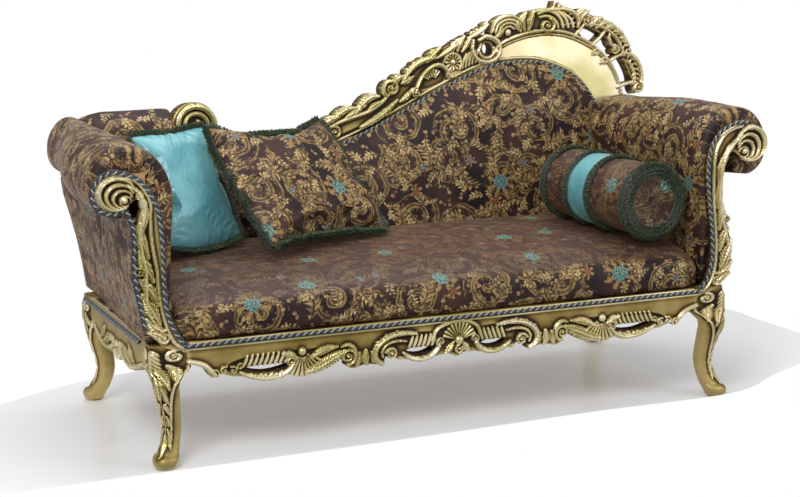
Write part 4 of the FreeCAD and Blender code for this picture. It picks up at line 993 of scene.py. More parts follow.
def fringe_of_leaves(points: Points, side: float, length: float, spacing: float, height: float = 8.0,
                     lean: float = 35.0) -> list[Stroke]:
    """Set small leaves along a line, all on one side of it.

    Args:
        points: The line.
        side: 1 for the left of its direction, -1 for the right.
        length: Length of a leaf in millimetres.
        spacing: Distance between leaves.
        height: Height of their crowns.
        lean: Degrees that a leaf leans forward from square.

    Returns:
        The leaves.
    """
    line = ease(points, spacing)
    made = []
    for number in range(1, len(line) - 1):
        dx, dz = line[number + 1] - line[number - 1]
        angle = math.atan2(dz, dx) + side * math.radians(90 - lean)
        x, z = line[number]
        bend = side * math.radians(24)
        reach = length * (1.0 if number % 2 else 0.78)
        middle = (x + 0.55 * reach * math.cos(angle), z + 0.55 * reach * math.sin(angle))
        end = (middle[0] + 0.5 * reach * math.cos(angle - bend), middle[1] + 0.5 * reach * math.sin(angle - bend))
        made += cuts(Cut.FROND, (height, length * 0.27, x, z, *middle, *end), tip=0.25, tail=0.5)
    return made


def mirrored(strokes: Iterable[Stroke]) -> list[Stroke]:
    """The same strokes on the other side of the middle.

    Args:
        strokes: Strokes of one side.

    Returns:
        Those of the other side.
    """
    return [Stroke(s.cut, s.height, tuple((-x, z, r) for x, z, r in s.line)) for s in strokes]


@dataclass
class Carving:
    """A carved board: a height field over a pierced outline.

    Attributes:
        name: The piece's name.
        ground: Closed outlines of the solid ground, in millimetres.
        strokes: The carving on and around it.
        holes: Closed outlines sawn through.
        sunk: Closed outlines of lowered ground, with their depth.
        step: Grid spacing in millimetres.
        thick: Thickness of the board behind the ground.
        round_edge: Radius to which the edge is rounded over.
        rear_proud: How rubbed the flat rear looks, from 0 to 1.
    """

    name: str
    ground: Sequence[Points]
    strokes: Sequence[Stroke]
    holes: Sequence[Points] = ()
    sunk: Sequence[tuple[Points, float]] = ()
    step: float = 2.2
    thick: float = 30.0
    # rear_proud: Place of the flat rear on the gilding's scale from dark to pale, from 0 to 1.
    round_edge: float = 5.0
    rear_proud: float = 0.18

    def grid(self) -> tuple[np.ndarray, np.ndarray]:
        """Lay a grid over everything that the carving covers."""
        reach = [point for loop in self.ground for point in loop]
        reach += [(x + way * r, z + way * r) for s in self.strokes for x, z, r in s.line for way in (-1.6, 1.6)]
        low, high = np.min(reach, axis=0) - 3 * self.step, np.max(reach, axis=0) + 3 * self.step
        return np.meshgrid(np.arange(low[0], high[0], self.step), np.arange(low[1], high[1], self.step))

    def signed(self, loop: Points, x: np.ndarray, z: np.ndarray) -> np.ndarray:
        """Measure grid points against a closed outline.

        Args:
            loop: Corners of the outline.
            x: Grid across.
            z: Grid up.

        Returns:
            Distance into the outline, negative outside it.
        """
        curve = ease(loop, 6.0, closed=True)
        far = distance(curve, x, z, closed=True)[0]
        return np.where(inside(curve, x, z), far, -far)

    def fields(self) -> tuple[np.ndarray, np.ndarray, np.ndarray, np.ndarray]:
        """Work out the solid's reach and the carving's height over the grid.

        Returns:
            Grid across, grid up, distance into the solid (negative outside), and height.
        """
        x, z = self.grid()
        reach = np.full(x.shape, -40.0)
        height = np.zeros(x.shape)
        for loop in self.ground:
            reach = np.maximum(reach, self.signed(loop, x, z))
        for loop, depth in self.sunk:
            height -= depth * np.clip(self.signed(loop, x, z) / 4.0, 0, 1)
        for loop in self.holes:
            reach = np.minimum(reach, -self.signed(loop, x, z))
        for made in self.strokes:
            self.carve(made, x, z, reach, height)
        return x, z, reach, height

    def carve(self, made: Stroke, x: np.ndarray, z: np.ndarray, reach: np.ndarray, height: np.ndarray) -> None:
        """Raise one stroke on the fields, in place.

        Args:
            made: The stroke.
            x: Grid across.
            z: Grid up.
            reach: Distance into the solid over the grid.
            height: Height of the carving over the grid.
        """
        tool = made.cut.value
        curve = ease(made.line, 3.0)
        wide = float(curve[:, 2].max()) * (1.2 + tool.frill)
        low = curve[:, :2].min(axis=0) - wide
        high = curve[:, :2].max(axis=0) + wide
        columns = np.flatnonzero((x[0] >= low[0]) & (x[0] <= high[0]))
        rows = np.flatnonzero((z[:, 0] >= low[1]) & (z[:, 0] <= high[1]))
        if not len(columns) or not len(rows):
            return
        window = (slice(rows[0], rows[-1] + 1), slice(columns[0], columns[-1] + 1))
        far, along, radius = distance(curve, x[window], z[window])
        typical = max(float(np.mean(curve[:, 2])), 0.1)
        phase = (along - tool.slant * far) / (tool.pitch * typical)
        lobe = np.abs(np.sin(math.pi * phase)) ** 0.6
        edge = radius * (1 - tool.frill * 0.45 + tool.frill * lobe)
        share = far / np.maximum(edge, 0.1)
        body = np.sqrt(np.clip(1 - share**2, 0, 1)) ** tool.crown
        body *= 1 - tool.flute * (1 - lobe) * np.clip(share * 2.4 if tool.frill else 1.0, 0, 1)
        # A groove half way down the flank, a rib along the middle and a quirk beside it
        ridge = lambda place, spread: np.exp(-(((share - place) / spread) ** 2))
        body += tool.rib * (ridge(0.0, 0.14) - ridge(0.24, 0.1)) - tool.grooves * ridge(0.52, 0.13)
        taper = 0.55 + 0.45 * np.clip(radius / max(float(curve[:, 2].max()), 0.1), 0, 1)
        raised = np.where(share < 1, made.height * taper * body, -99.0)
        height[window] = np.maximum(height[window], raised)
        reach[window] = np.maximum(reach[window], edge - far)

    def proud(self, height: np.ndarray, reach: np.ndarray) -> np.ndarray:
        """Tell how far each point stands above what is around it, which sets its wear and toning and its painted
        shade and highlight.

        Args:
            height: Height of the carving over the grid.
            reach: Distance into the solid over the grid.

        Returns:
            Share of wear and painted light over the grid: high, with a painted highlight, where a point stands above
            what is around it, and low, with toning and painted shade, in hollows.
        """
        solid = np.where(reach > 0, height, -5.0)
        near, wide = (solid - softened(solid, radius / self.step) for radius in (6.0, 18.0))
        return np.clip(0.5 + near / 7.5 + wide / 20.0, 0, 1)

    def build(self, place: Placer, finish: Finish) -> bpy.types.Object:
        """Turn the fields into a closed mesh.

        Args:
            place: Gives places in metres for across, up and height in millimetres.
            finish: The finish it wears.

        Returns:
            The carved piece.
        """
        x, z, reach, height = self.fields()
        edge = np.clip(reach / self.round_edge, 0, 1)
        shaped = height - self.round_edge * 0.8 * (1 - np.sqrt(1 - (1 - edge) ** 2))
        marker = Contour(reach)
        across, up = marker.blend(x), marker.blend(z)
        front = place(across, up, marker.blend(shaped))
        back = place(across, up, np.full(len(across), -self.thick))
        count = len(front)
        faces = list(marker.faces)
        faces += [tuple(count + corner for corner in reversed(face)) for face in marker.faces]
        faces += [(b, a, count + a, count + b) for a, b in marker.rim]
        built = smooth_object(self.name, np.vstack([front, back]), faces, finish, fine=1.1)
        # Wear and painted light: pale leaf with a painted highlight where the carving stands proud, toning and
        # painted shade in its hollows
        wear_and_light = marker.blend(self.proud(height, reach))
        mark(built, "proud", np.concatenate([wear_and_light, np.full(count, self.rear_proud)]))
        return outward(built)


def softened(field_: np.ndarray, radius: float) -> np.ndarray:
    """Blur a field twice over a square window of cells.

    Args:
        field_: The field.
        radius: Half the width of the window, in cells.

    Returns:
        The blurred field.
    """
    size = max(1, int(round(radius)))
    result = field_
    for _ in range(2):
        for axis in (0, 1):
            padded = np.pad(result, [(size, size) if a == axis else (0, 0) for a in (0, 1)], mode="edge")
            total = np.cumsum(padded, axis=axis)
            zero = np.zeros_like(np.take(total, [0], axis=axis))
            total = np.concatenate([zero, total], axis=axis)
            width = 2 * size + 1
            length = result.shape[axis]
            upper = np.take(total, range(width, width + length), axis=axis)
            lower = np.take(total, range(length), axis=axis)
            result = (upper - lower) / width
    return result


class Contour:
    """Faces of the part of a grid where a field is positive, with its edge cut to the field's zero."""

    def __init__(self, field_: np.ndarray) -> None:
        """Walk every cell once and keep its corners, crossings and faces.

        Args:
            field_: Distance into the solid over the grid.
        """
        self.rows, self.columns = field_.shape
        self.first: list[int] = []
        self.second: list[int] = []
        self.share: list[float] = []
        self.number: dict[tuple[int, int], int] = {}
        self.faces: list[tuple[int, ...]] = []
        self.rim: list[tuple[int, int]] = []
        flat = field_.ravel()
        filled = field_ > 0
        busy = filled[:-1, :-1] | filled[1:, :-1] | filled[:-1, 1:] | filled[1:, 1:]
        for row, column in zip(*np.nonzero(busy)):
            start = int(row) * self.columns + int(column)
            cell = (start, start + 1, start + self.columns + 1, start + self.columns)
            self.walk(cell, [float(flat[c]) for c in cell])

    def corner(self, a: int, b: int, share: float) -> int:
        """Number the point between two grid points, once.

        Args:
            a: Number of the first grid point.
            b: Number of the second one.
            share: How far it lies from the first to the second.

        Returns:
            Its number.
        """
        key = (min(a, b), max(a, b))
        if key not in self.number:
            self.number[key] = len(self.first)
            self.first.append(a)
            self.second.append(b)
            self.share.append(share)
        return self.number[key]

    def walk(self, cell: tuple[int, int, int, int], values: list[float]) -> None:
        """Add one cell's face, and the stretch of rim that crosses it.

        Args:
            cell: Numbers of the cell's corners, in order.
            values: The field there.
        """
        loop: list[int] = []
        cuts: list[tuple[int, bool]] = []
        for number in range(4):
            a, b = cell[number], cell[(number + 1) % 4]
            va, vb = values[number], values[(number + 1) % 4]
            if va > 0:
                loop.append(self.corner(a, a, 0.0))
            if (va > 0) != (vb > 0):
                crossing = self.corner(a, b, min(max(va / (va - vb), 0.02), 0.98))
                loop.append(crossing)
                cuts.append((crossing, va > 0))
        if len(loop) >= 3:
            self.faces.append(tuple(loop))
        for number, (crossing, leaving) in enumerate(cuts):
            if leaving:
                self.rim.append((crossing, cuts[(number + 1) % len(cuts)][0]))

    def blend(self, field_: np.ndarray) -> np.ndarray:
        """Read another field at every point.

        Args:
            field_: The other field, on the same grid.

        Returns:
            Its value at each point.
        """
        flat = field_.ravel()
        first, second, share = np.array(self.first), np.array(self.second), np.array(self.share)
        return flat[first] * (1 - share) + flat[second] * share


# Places shared by the pieces


@dataclass(frozen=True)
class Places:
    """Main planes and heights of the chaise, in metres.

    Attributes:
        rail_top: Height of the seat rails' top.
        half: Distance of the side rails' faces from the middle.
        front: Depth of the front rail's face.
        back: Depth of the back's face at the rails' top.
        rake: Angle by which the back leans.
    """

    rail_top: float
    half: float
    front: float = -0.388
    back: float = 0.267
    rake: float = math.radians(7)

    @classmethod
    def read(cls) -> Places:
        """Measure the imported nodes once."""
        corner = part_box("right_side_rail")[1]
        return cls(rail_top=corner.z, half=corner.x)

    def leaned(self, x: np.ndarray, z: np.ndarray, h: np.ndarray) -> np.ndarray:
        """Place on the crest's leaning face.

        Args:
            x: Across, in millimetres.
            z: Real height, in millimetres.
            h: How far it stands towards the viewer, in millimetres.

        Returns:
            The place in metres.
        """
        up = (z * MM - self.rail_top) / math.cos(self.rake)
        return np.stack([x * MM,
                         self.back + up * math.sin(self.rake) - h * MM * math.cos(self.rake),
                         self.rail_top + up * math.cos(self.rake) + h * MM * math.sin(self.rake)], axis=-1)

    def forward(self, x: np.ndarray, z: np.ndarray, h: np.ndarray) -> np.ndarray:
        """Place on the front rail's face.

        Args:
            x: Across, in millimetres.
            z: Height in millimetres.
            h: How far it stands towards the viewer, in millimetres.

        Returns:
            The place in metres.
        """
        return np.stack([x * MM, self.front - h * MM, z * MM], axis=-1)


# Outlines of the carving, in millimetres across and above the floor


APRON_EDGE = (
    (0, 201), (22, 211), (50, 210), (72, 206), (88, 203), (110, 201), (130, 204), (150, 210), (166, 209), (176, 222),
    (184, 239), (194, 240), (203, 222), (213, 204), (235, 205), (258, 208), (280, 204), (297, 201), (310, 208),
    (318, 228), (328, 243), (342, 234), (358, 228), (374, 223), (390, 211), (408, 203), (428, 199), (445, 205),
    (470, 209), (489, 207), (510, 203), (532, 201), (556, 205), (576, 208), (600, 214), (622, 216), (640, 222),
    (658, 226), (676, 219), (688, 232), (700, 250), (716, 262), (735, 268),
)


@dataclass
class Apron:
    """Front rail: a plain moulded rail above, and a carved and pierced drop below.

    Attributes:
        places: Main planes of the chaise.
        palette: The finishes.
        rail_top: Height of its top in millimetres.
        half_length: Half its length in millimetres.
    """

    places: Places
    palette: Palette
    rail_top: float = 314.0
    half_length: float = 742.0

    def half(self) -> list[Stroke]:
        """Carving of the right half; the left one mirrors it."""
        made: list[Stroke] = []
        # Arch moulding that runs down from the leg, and its small curls
        made += cuts(Cut.STEM, (9, 7, 738, 268, 716, 262, 698, 254, 684, 242, 674, 232), tip=0.8, tail=0.9)
        made += coils((669, 228, 12, 40, 1.2, 10), (646, 235, 11, 120, -1.1, 8), (622, 233, 11, 60, 1.1, 8),
                      (604, 240, 9, 120, -1.0, 7))
        # Open C-scroll with flutes over it
        made += cuts(Cut.SCROLL,
                     (11, 8, 604, 226, 582, 214, 556, 207, 530, 203, 500, 205, 476, 216, 462, 232), tip=0.7,
                     tail=0.5)
        made += coils((466, 240, 12, -60, 1.2, 10))
        made += cuts(Cut.FLUTE, *((6, 4.5, x, 240, x - 7, 252, x - 12, 266) for x in range(484, 606, 14)),
                     tip=0.6, tail=0.8)
        made += fringe_of_leaves(((600, 214), (556, 207), (500, 206), (470, 216)), -1, 15, 17, 7)
        # Ribbed shell and the leaf that springs from it
        made += cuts(Cut.LEAF, (9, 10, 452, 246, 468, 255, 490, 262))
        made += cuts(Cut.LEAF, (12, 15, 428, 208, 404, 214, 380, 224, 358, 234, 336, 243, 322, 252), tip=0.35)
        made += cuts(Cut.LEAF, (8, 10, 414, 242, 392, 254, 366, 262, 340, 264), tip=0.3)
        made += cuts(Cut.SCROLL, (10, 6.5, 330, 262, 312, 266, 296, 256, 291, 238, 298, 220, 312, 214), tip=0.8)
        made += coils((312, 236, 20, 200, -1.5, 11, 0.28))
        made += [boss(437, 262, 11, 10)]
        made += rays(436, 262, 16, 62, -150, -48, 9, 8, 0.42)
        # Pendant leaves
        made += cuts(Cut.LEAF, (10, 12, 262, 246, 264, 226, 258, 208), (9, 10, 280, 242, 284, 222, 288, 206),
                     (9, 10, 246, 240, 238, 222, 226, 208), tip=0.3)
        # Long arch scroll
        made += cuts(Cut.SCROLL,
                     (13, 8.5, 118, 276, 150, 281, 184, 279, 212, 268, 232, 250, 237, 230, 228, 213, 214, 205),
                     tip=0.7, tail=0.5)
        made += cuts(Cut.STEM, (8, 5, 146, 258, 176, 262, 202, 256, 216, 240, 214, 222), tip=0.7)
        made += coils((190, 229, 17, 20, 1.5, 11, 0.28))
        made += fringe_of_leaves(((150, 283), (196, 276), (230, 254), (238, 228)), 1, 14, 18, 6)
        # Slot with a ridge under it and flutes over it
        made += cuts(Cut.SCROLL, (11, 8, 156, 228, 134, 212, 108, 206, 82, 210, 62, 224, 54, 238), tip=0.7)
        made += cuts(Cut.LEAF, (9, 9, 36, 214, 22, 228, 10, 244), tip=0.3)
        made += coils((49, 247, 13, -80, 1.4, 10))
        made += cuts(Cut.FLUTE, *((6, 4.5, x, 242, x - 6, 256, x - 10, 270) for x in range(74, 142, 13)),
                     tip=0.6, tail=0.8)
        return made

    def build(self) -> bpy.types.Object:
        """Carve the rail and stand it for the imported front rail."""
        end, top = self.half_length, self.rail_top
        loop = [(-x, z) for x, z in reversed(APRON_EDGE[1:])] + list(APRON_EDGE)
        loop += [(end, 290), (end, top), (0, top + 0.5), (-end, top), (-end, 290)]
        slots = [((474, 231), (500, 223), (532, 220), (562, 224), (588, 233), (560, 238), (530, 237), (500, 238)),
                 ((72, 230), (90, 222), (110, 220), (132, 224), (144, 233), (124, 237), (106, 236), (88, 237))]
        sunk = [((60, 214), (60, 272), (150, 276), (236, 240), (236, 210), (150, 216)),
                ((300, 216), (300, 262), (420, 268), (600, 262), (640, 236), (600, 222), (480, 214))]
        both = lambda loops: loops + [tuple((-x, z) for x, z in loop) for loop in loops]
        half = self.half()
        strokes = half + mirrored(half)
        # Shell at the middle, and the bead under the upholstery
        strokes += rays(4, 246, 12, 46, 20, 160, 11, 9, 0.42)
        strokes += cuts(Cut.STEM, (10, 6, -74, 254, -58, 282, -20, 296, 4, 298, 30, 294, 58, 278, 70, 250),
                        tip=0.8, tail=0.8)
        strokes += [boss(4, 246, 13, 13)] + coil(6, 222, 14, 90, 1.3, 10)
        strokes += cuts(Cut.STEM, (5, 3.2, -741, 299, 0, 299, 741, 299), tip=1, tail=1)
        carving = Carving("carved_apron", [loop], strokes, both(slots), [(loop_, 3.0) for loop_ in both(sunk)],
                          step=2.0)
        return carving.build(self.places.forward, self.palette.carved)


CREST_OUTER = (
    (-118, 734), (-104, 745), (-70, 753), (-45, 760), (-36, 776), (-12, 780), (6, 778), (24, 790), (42, 808),
    (66, 808), (91, 806), (100, 826), (112, 850), (134, 862), (158, 864), (178, 862), (204, 884), (232, 902),
    (258, 914), (276, 932), (298, 945), (326, 960), (352, 976), (376, 981), (396, 984), (420, 1000), (446, 1014),
    (466, 1026), (484, 1034), (508, 1040), (530, 1040), (548, 1040), (566, 1050), (594, 1056), (624, 1057),
    (650, 1056), (676, 1060), (704, 1061), (734, 1056), (752, 1050), (772, 1053), (796, 1050), (818, 1030),
    (842, 1024), (866, 1010), (880, 996), (900, 984), (920, 966), (930, 944), (946, 918), (960, 890), (970, 868),
    (976, 842), (978, 816), (972, 786), (968, 770),
)
PANEL_BORDER = (
    (300, 884), (340, 890), (380, 890), (430, 896), (462, 916), (482, 942), (514, 958), (549, 969), (584, 977),
    (621, 981), (652, 982), (684, 979), (712, 974), (742, 964), (770, 952), (798, 937), (824, 918), (846, 898),
    (866, 874), (882, 844), (894, 810), (902, 774),
)
PIPING = (
    (-470, 674), (-430, 654), (-380, 636), (-330, 622), (-280, 617), (-230, 620), (-180, 632), (-130, 650),
    (-83, 667), (31, 709), (144, 759), (220, 795), (316, 837), (383, 864), (458, 885), (546, 892), (617, 887),
    (675, 869), (734, 841), (780, 792), (809, 740), (825, 700),
)


@dataclass
class Crest:
    """Carved and pierced crest rail: slope, plain panel and open border.

    Attributes:
        places: Main planes of the chaise.
        palette: The finishes.
        spring: Height above which the tables are settled, in millimetres.
        settle: Share of their height over it that the tables keep.
    """

    places: Places
    palette: Palette
    spring: float = 950.0
    settle: float = 0.86

    def slope(self) -> list[Stroke]:
        """Leaves and scrolls along the rising part."""
        made: list[Stroke] = []
        made += cuts(Cut.STEM,
                     (9, 7, -420, 690, -360, 668, -300, 660, -240, 664, -180, 680, -120, 706, -60, 738, 0, 756, 50,
                      770, 90, 792, 116, 816, 142, 838), tip=0.8, tail=0.8)
        made += cuts(Cut.LEAF, (11, 15, -300, 662, -258, 680, -214, 692, -168, 704),
                     (11, 14, -226, 668, -176, 696, -136, 722, -112, 734), (9, 9, -30, 752, -8, 764, 14, 780),
                     (9, 9, 46, 772, 66, 786, 92, 798), (10, 12, 128, 842, 144, 860, 164, 866),
                     (10, 11, 158, 846, 176, 854, 198, 864), (10, 12, 244, 904, 262, 924, 290, 944), tip=0.3)
        made += cuts(Cut.LEAF, (10, 11, -120, 712, -104, 734, -74, 752, -44, 758),
                     (10, 11, -70, 744, -52, 762, -26, 778, 4, 782),
                     (11, 13, 4, 764, 26, 788, 52, 808, 84, 811), tip=0.35)
        made += cuts(Cut.SCROLL, (12, 9, 164, 856, 186, 880, 212, 900, 242, 911, 268, 915), tip=0.6, tail=0.7)
        made += cuts(Cut.STEM,
                     (10, 7, 204, 822, 212, 842, 230, 868, 256, 888, 282, 894, 300, 886, 312, 872), tip=0.9,
                     tail=0.9)
        made += cuts(Cut.SCROLL, (11, 8, 270, 912, 300, 926, 332, 944, 356, 962), tip=0.7)
        made += cuts(Cut.LEAF, (9, 10, 20, 724, 60, 742, 104, 768, 142, 798),
                     (8, 9, 150, 792, 172, 806, 190, 828), tip=0.4)
        made += coils((-62, 714, 19, 120, -1.3, 9), (124, 832, 28, 230, -1.5, 12, 0.27),
                      (203, 816, 15, 90, 1.4, 11), (313, 864, 13, 90, -1.4, 11))
        made += fringe_of_leaves(((170, 862), (198, 890), (236, 908), (270, 915)), 1, 17, 19, 7)
        made += rays(258, 846, 14, 36, 50, 150, 7, 6, 0.4)
        return made

    def arch(self) -> list[Stroke]:
        """Rosette, round scroll and shells over the arch."""
        made: list[Stroke] = []
        made += cuts(Cut.STEM, (10, 6, 296, 898, 306, 916, 326, 926, 348, 916, 354, 896, 348, 878), tip=0.8)
        made += cuts(Cut.LEAF, (11, 11, 344, 932, 352, 954, 372, 980), (10, 10, 360, 930, 376, 952, 396, 980),
                     (9, 9, 330, 930, 334, 948, 346, 968), tip=0.3)
        made += cuts(Cut.SCROLL,
                     (13, 9, 398, 962, 394, 932, 408, 906, 436, 896, 466, 902, 484, 924, 482, 950, 466, 968, 440,
                      974, 420, 964), tip=0.7, tail=0.7)
        made += cuts(Cut.STEM, (10, 5.5, 424, 950, 416, 930, 426, 912, 446, 908, 462, 918, 466, 938), tip=0.7)
        made += cuts(Cut.SCROLL, (11, 8, 384, 972, 410, 984, 434, 1000, 452, 1018), tip=0.4)
        made += [boss(328, 900, 9, 11), boss(474, 926, 10, 12)]
        made += rays(328, 900, 8, 22, 0, 330, 12, 8, 0.42)
        made += cuts(Cut.FLUTE, *((7, 5, 358 + 11 * n, 880 + 4 * n, 362 + 11 * n, 900 + 4 * n, 374 + 10 * n,
                                   922 + 3 * n) for n in range(5)), tip=0.8, tail=0.7)
        made += fringe_of_leaves(((380, 976), (412, 990), (440, 1008), (456, 1022)), 1, 15, 17, 7)
        # First shell
        made += cuts(Cut.LEAF, (9, 10, 470, 966, 488, 984, 500, 1004), tip=0.3)
        made += [boss(516, 986, 11, 12)]
        for number, reach in enumerate((58, 46, 34, 22)):
            points = arc(520, 984, reach, reach, (175, 140, 105, 70, 35))
            made += cuts(Cut.FLUTE if number else Cut.SCROLL, (11 - number, 6.5 - number * 0.6, *points),
                         tip=0.7, tail=0.8)
        made += rays(520, 984, 16, 54, 40, 165, 9, 6, 0.22)
        # Leaf cluster between the shells
        made += cuts(Cut.LEAF, (12, 13, 572, 992, 566, 1022, 582, 1052), (12, 13, 586, 990, 592, 1022, 610, 1056),
                     (10, 11, 560, 988, 548, 1012, 552, 1036), tip=0.3)
        # Great shell
        made += cuts(Cut.SCROLL,
                     (12, 8, 622, 1046, 650, 1056, 684, 1060, 716, 1058, 744, 1046, 760, 1022, 758, 996), tip=0.6,
                     tail=0.6)
        made += coils((650, 1004, 27, 60, -1.4, 13, 0.3))
        made += cuts(Cut.FLUTE, *((9, 6.5, *arc(644, 994, reach, min(reach, 66), (112, 84, 56, 28, 2)))
                                  for reach in (44, 62, 80, 98)), tip=0.7, tail=0.7)
        made += rays(650, 996, 30, 98, 8, 70, 7, 6, 0.2)
        return made

    def shoulder(self) -> list[Stroke]:
        """Leaves that fall over the right shoulder, and the frond beside the arm."""
        made: list[Stroke] = []
        made += cuts(Cut.LEAF, (11, 12, 764, 1010, 776, 1034, 800, 1050), (10, 10, 752, 1030, 768, 1046, 786, 1056),
                     (11, 12, 800, 996, 818, 1014, 846, 1024), (10, 11, 822, 990, 844, 1004, 872, 1006),
                     (11, 12, 850, 984, 872, 992, 900, 980), (11, 12, 874, 972, 898, 972, 922, 952),
                     (10, 11, 892, 950, 914, 946, 938, 922), tip=0.3)
        made += cuts(Cut.STEM,
                     (11, 6.5, 800, 1006, 836, 994, 868, 974, 892, 948, 906, 920, 916, 896), tip=0.9, tail=0.8)
        made += cuts(Cut.STEM, (10, 6, 868, 976, 866, 952, 872, 932, 884, 922), tip=0.8)
        made += cuts(Cut.SCROLL, (12, 9.5, 908, 904, 934, 898, 956, 882, 970, 856, 974, 828, 970, 806), tip=0.7)
        made += cuts(Cut.STEM, (9, 5.5, 914, 884, 936, 868, 948, 844, 950, 816, 946, 790), tip=0.9)
        made += coils((790, 1014, 20, 100, -1.4, 12, 0.3), (884, 914, 15, 100, -1.4, 12),
                      (960, 796, 18, 60, -1.4, 12, 0.3))
        made += fringe_of_leaves(((916, 902), (950, 884), (970, 850), (974, 814)), 1, 15, 18, 7)
        # Struts that tie the open border to the panel
        made += cuts(Cut.STEM, (7, 6, 800, 930, 830, 950, 850, 974), (7, 6, 866, 880, 888, 892, 912, 900),
                     (7, 6, 890, 800, 918, 808, 948, 812), (7, 6, 742, 962, 764, 984, 780, 1004), tip=1, tail=1)
        made += coils((818, 908, 13, 200, -1.2, 9), (846, 880, 13, 200, -1.2, 9))
        fall = ((776, 1024), (812, 1012), (852, 990), (888, 962), (916, 926), (940, 884), (952, 840), (950, 800))
        made += fringe_of_leaves(fall, 1, 20, 17, 10)
        made += fringe_of_leaves(fall, -1, 18, 19, 9)
        return made

    def border(self) -> list[Stroke]:
        """Double bead around the panel, and the lip beside the upholstery."""
        outer = ease(PANEL_BORDER[4:], 40)
        inner = outer + np.array([0, -11.0])
        piping = ease(PIPING[8:], 40)
        run = lambda line, h, w, cut: Stroke(cut, h, tuple((float(x), float(z), w) for x, z in line))
        lifted = piping + np.array([-4.0, 12.0])
        return [run(outer, 9, 6.0, Cut.STEM), run(inner, 4.5, 3.0, Cut.FLUTE), run(lifted[:-1], 4.0, 3.0, Cut.FLUTE)]

    def ground(self) -> list[Points]:
        """Outline of the solid wood: the whole slope, the panel and the leaf border over it."""
        under = [(x, z - 26) for x, z in PIPING]
        slope = [(-470, 700)] + [(-420, 690), (-360, 672), (-300, 668), (-250, 676), (-200, 694), (-150, 718)]
        outline = slope + [(x - 3, z - 5) for x, z in CREST_OUTER[:25]]
        outline += [(410, 985), (432, 966), (464, 962), (480, 952)] + [(x, z + 4) for x, z in PANEL_BORDER[6:]]
        outline += [(908, 760), (880, 700), (840, 690)] + list(reversed(under))[1:]
        top = [(478, 950), (486, 1020), (520, 1034), (560, 1040), (620, 1050), (690, 1054), (740, 1046), (752, 1010),
               (748, 990), (770, 960), (700, 970), (620, 972), (540, 958)]
        fall = [(770, 1040), (800, 1040), (842, 1012), (880, 986), (912, 956), (938, 912), (958, 868), (966, 830),
                (962, 792), (950, 776), (938, 792), (936, 830), (922, 866), (898, 902), (872, 932), (844, 962),
                (812, 984), (786, 994), (768, 1006)]
        return [outline, top, fall]

    def build(self) -> bpy.types.Object:
        """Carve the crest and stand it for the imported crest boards."""
        holes = [((-110, 724), (-96, 716), (-78, 722), (-80, 733), (-98, 736)),
                 ((430, 936), (436, 922), (448, 917), (458, 928), (459, 944), (448, 954), (436, 950)),
                 ((751, 998), (762, 1008), (769, 1024), (766, 1038), (756, 1030), (750, 1014))]
        sunk = [((-60, 700), (0, 724), (60, 742), (100, 764), (112, 752), (60, 722), (0, 700)),
                ((146, 782), (160, 806), (190, 838), (206, 800)),
                ((222, 824), (240, 866), (280, 888), (302, 866), (290, 842))]
        # The tables stand a little high over the arch, so it is settled to its real height
        lowered = lambda z: min(z, self.spring + (z - self.spring) * self.settle)
        settled = lambda line: tuple((x, lowered(z), *more) for x, z, *more in line)
        strokes = self.border() + [Stroke(made.cut, made.height, settled(made.line))
                                   for made in self.slope() + self.arch() + self.shoulder()]
        carving = Carving("carved_crest", [settled(loop) for loop in self.ground()], strokes,
                          [settled(loop) for loop in holes], [(loop, 3.0) for loop in sunk], thick=40.0)
        piece = carving.build(self.places.leaned, self.palette.carved)
        # The plain panel is painted lighter: burnished leaf, with a painted highlight that grows towards the right
        points = points_of(piece) / MM
        panel = [(x, z - 16) for x, z in PANEL_BORDER] + [(x, z + 18) for x, z in reversed(PIPING[12:])]
        plain = inside(np.array(panel), points[:, 0], points[:, 2])
        value = np.empty(len(points))
        proud = piece.data.attributes["proud"].data
        proud.foreach_get("value", value)
        burnish_and_highlight = 0.56 + 0.34 * np.clip((points[:, 0] - 340) / 260, 0, 1)
        proud.foreach_set("value", np.where(plain, np.maximum(value, burnish_and_highlight), value))
        return piece


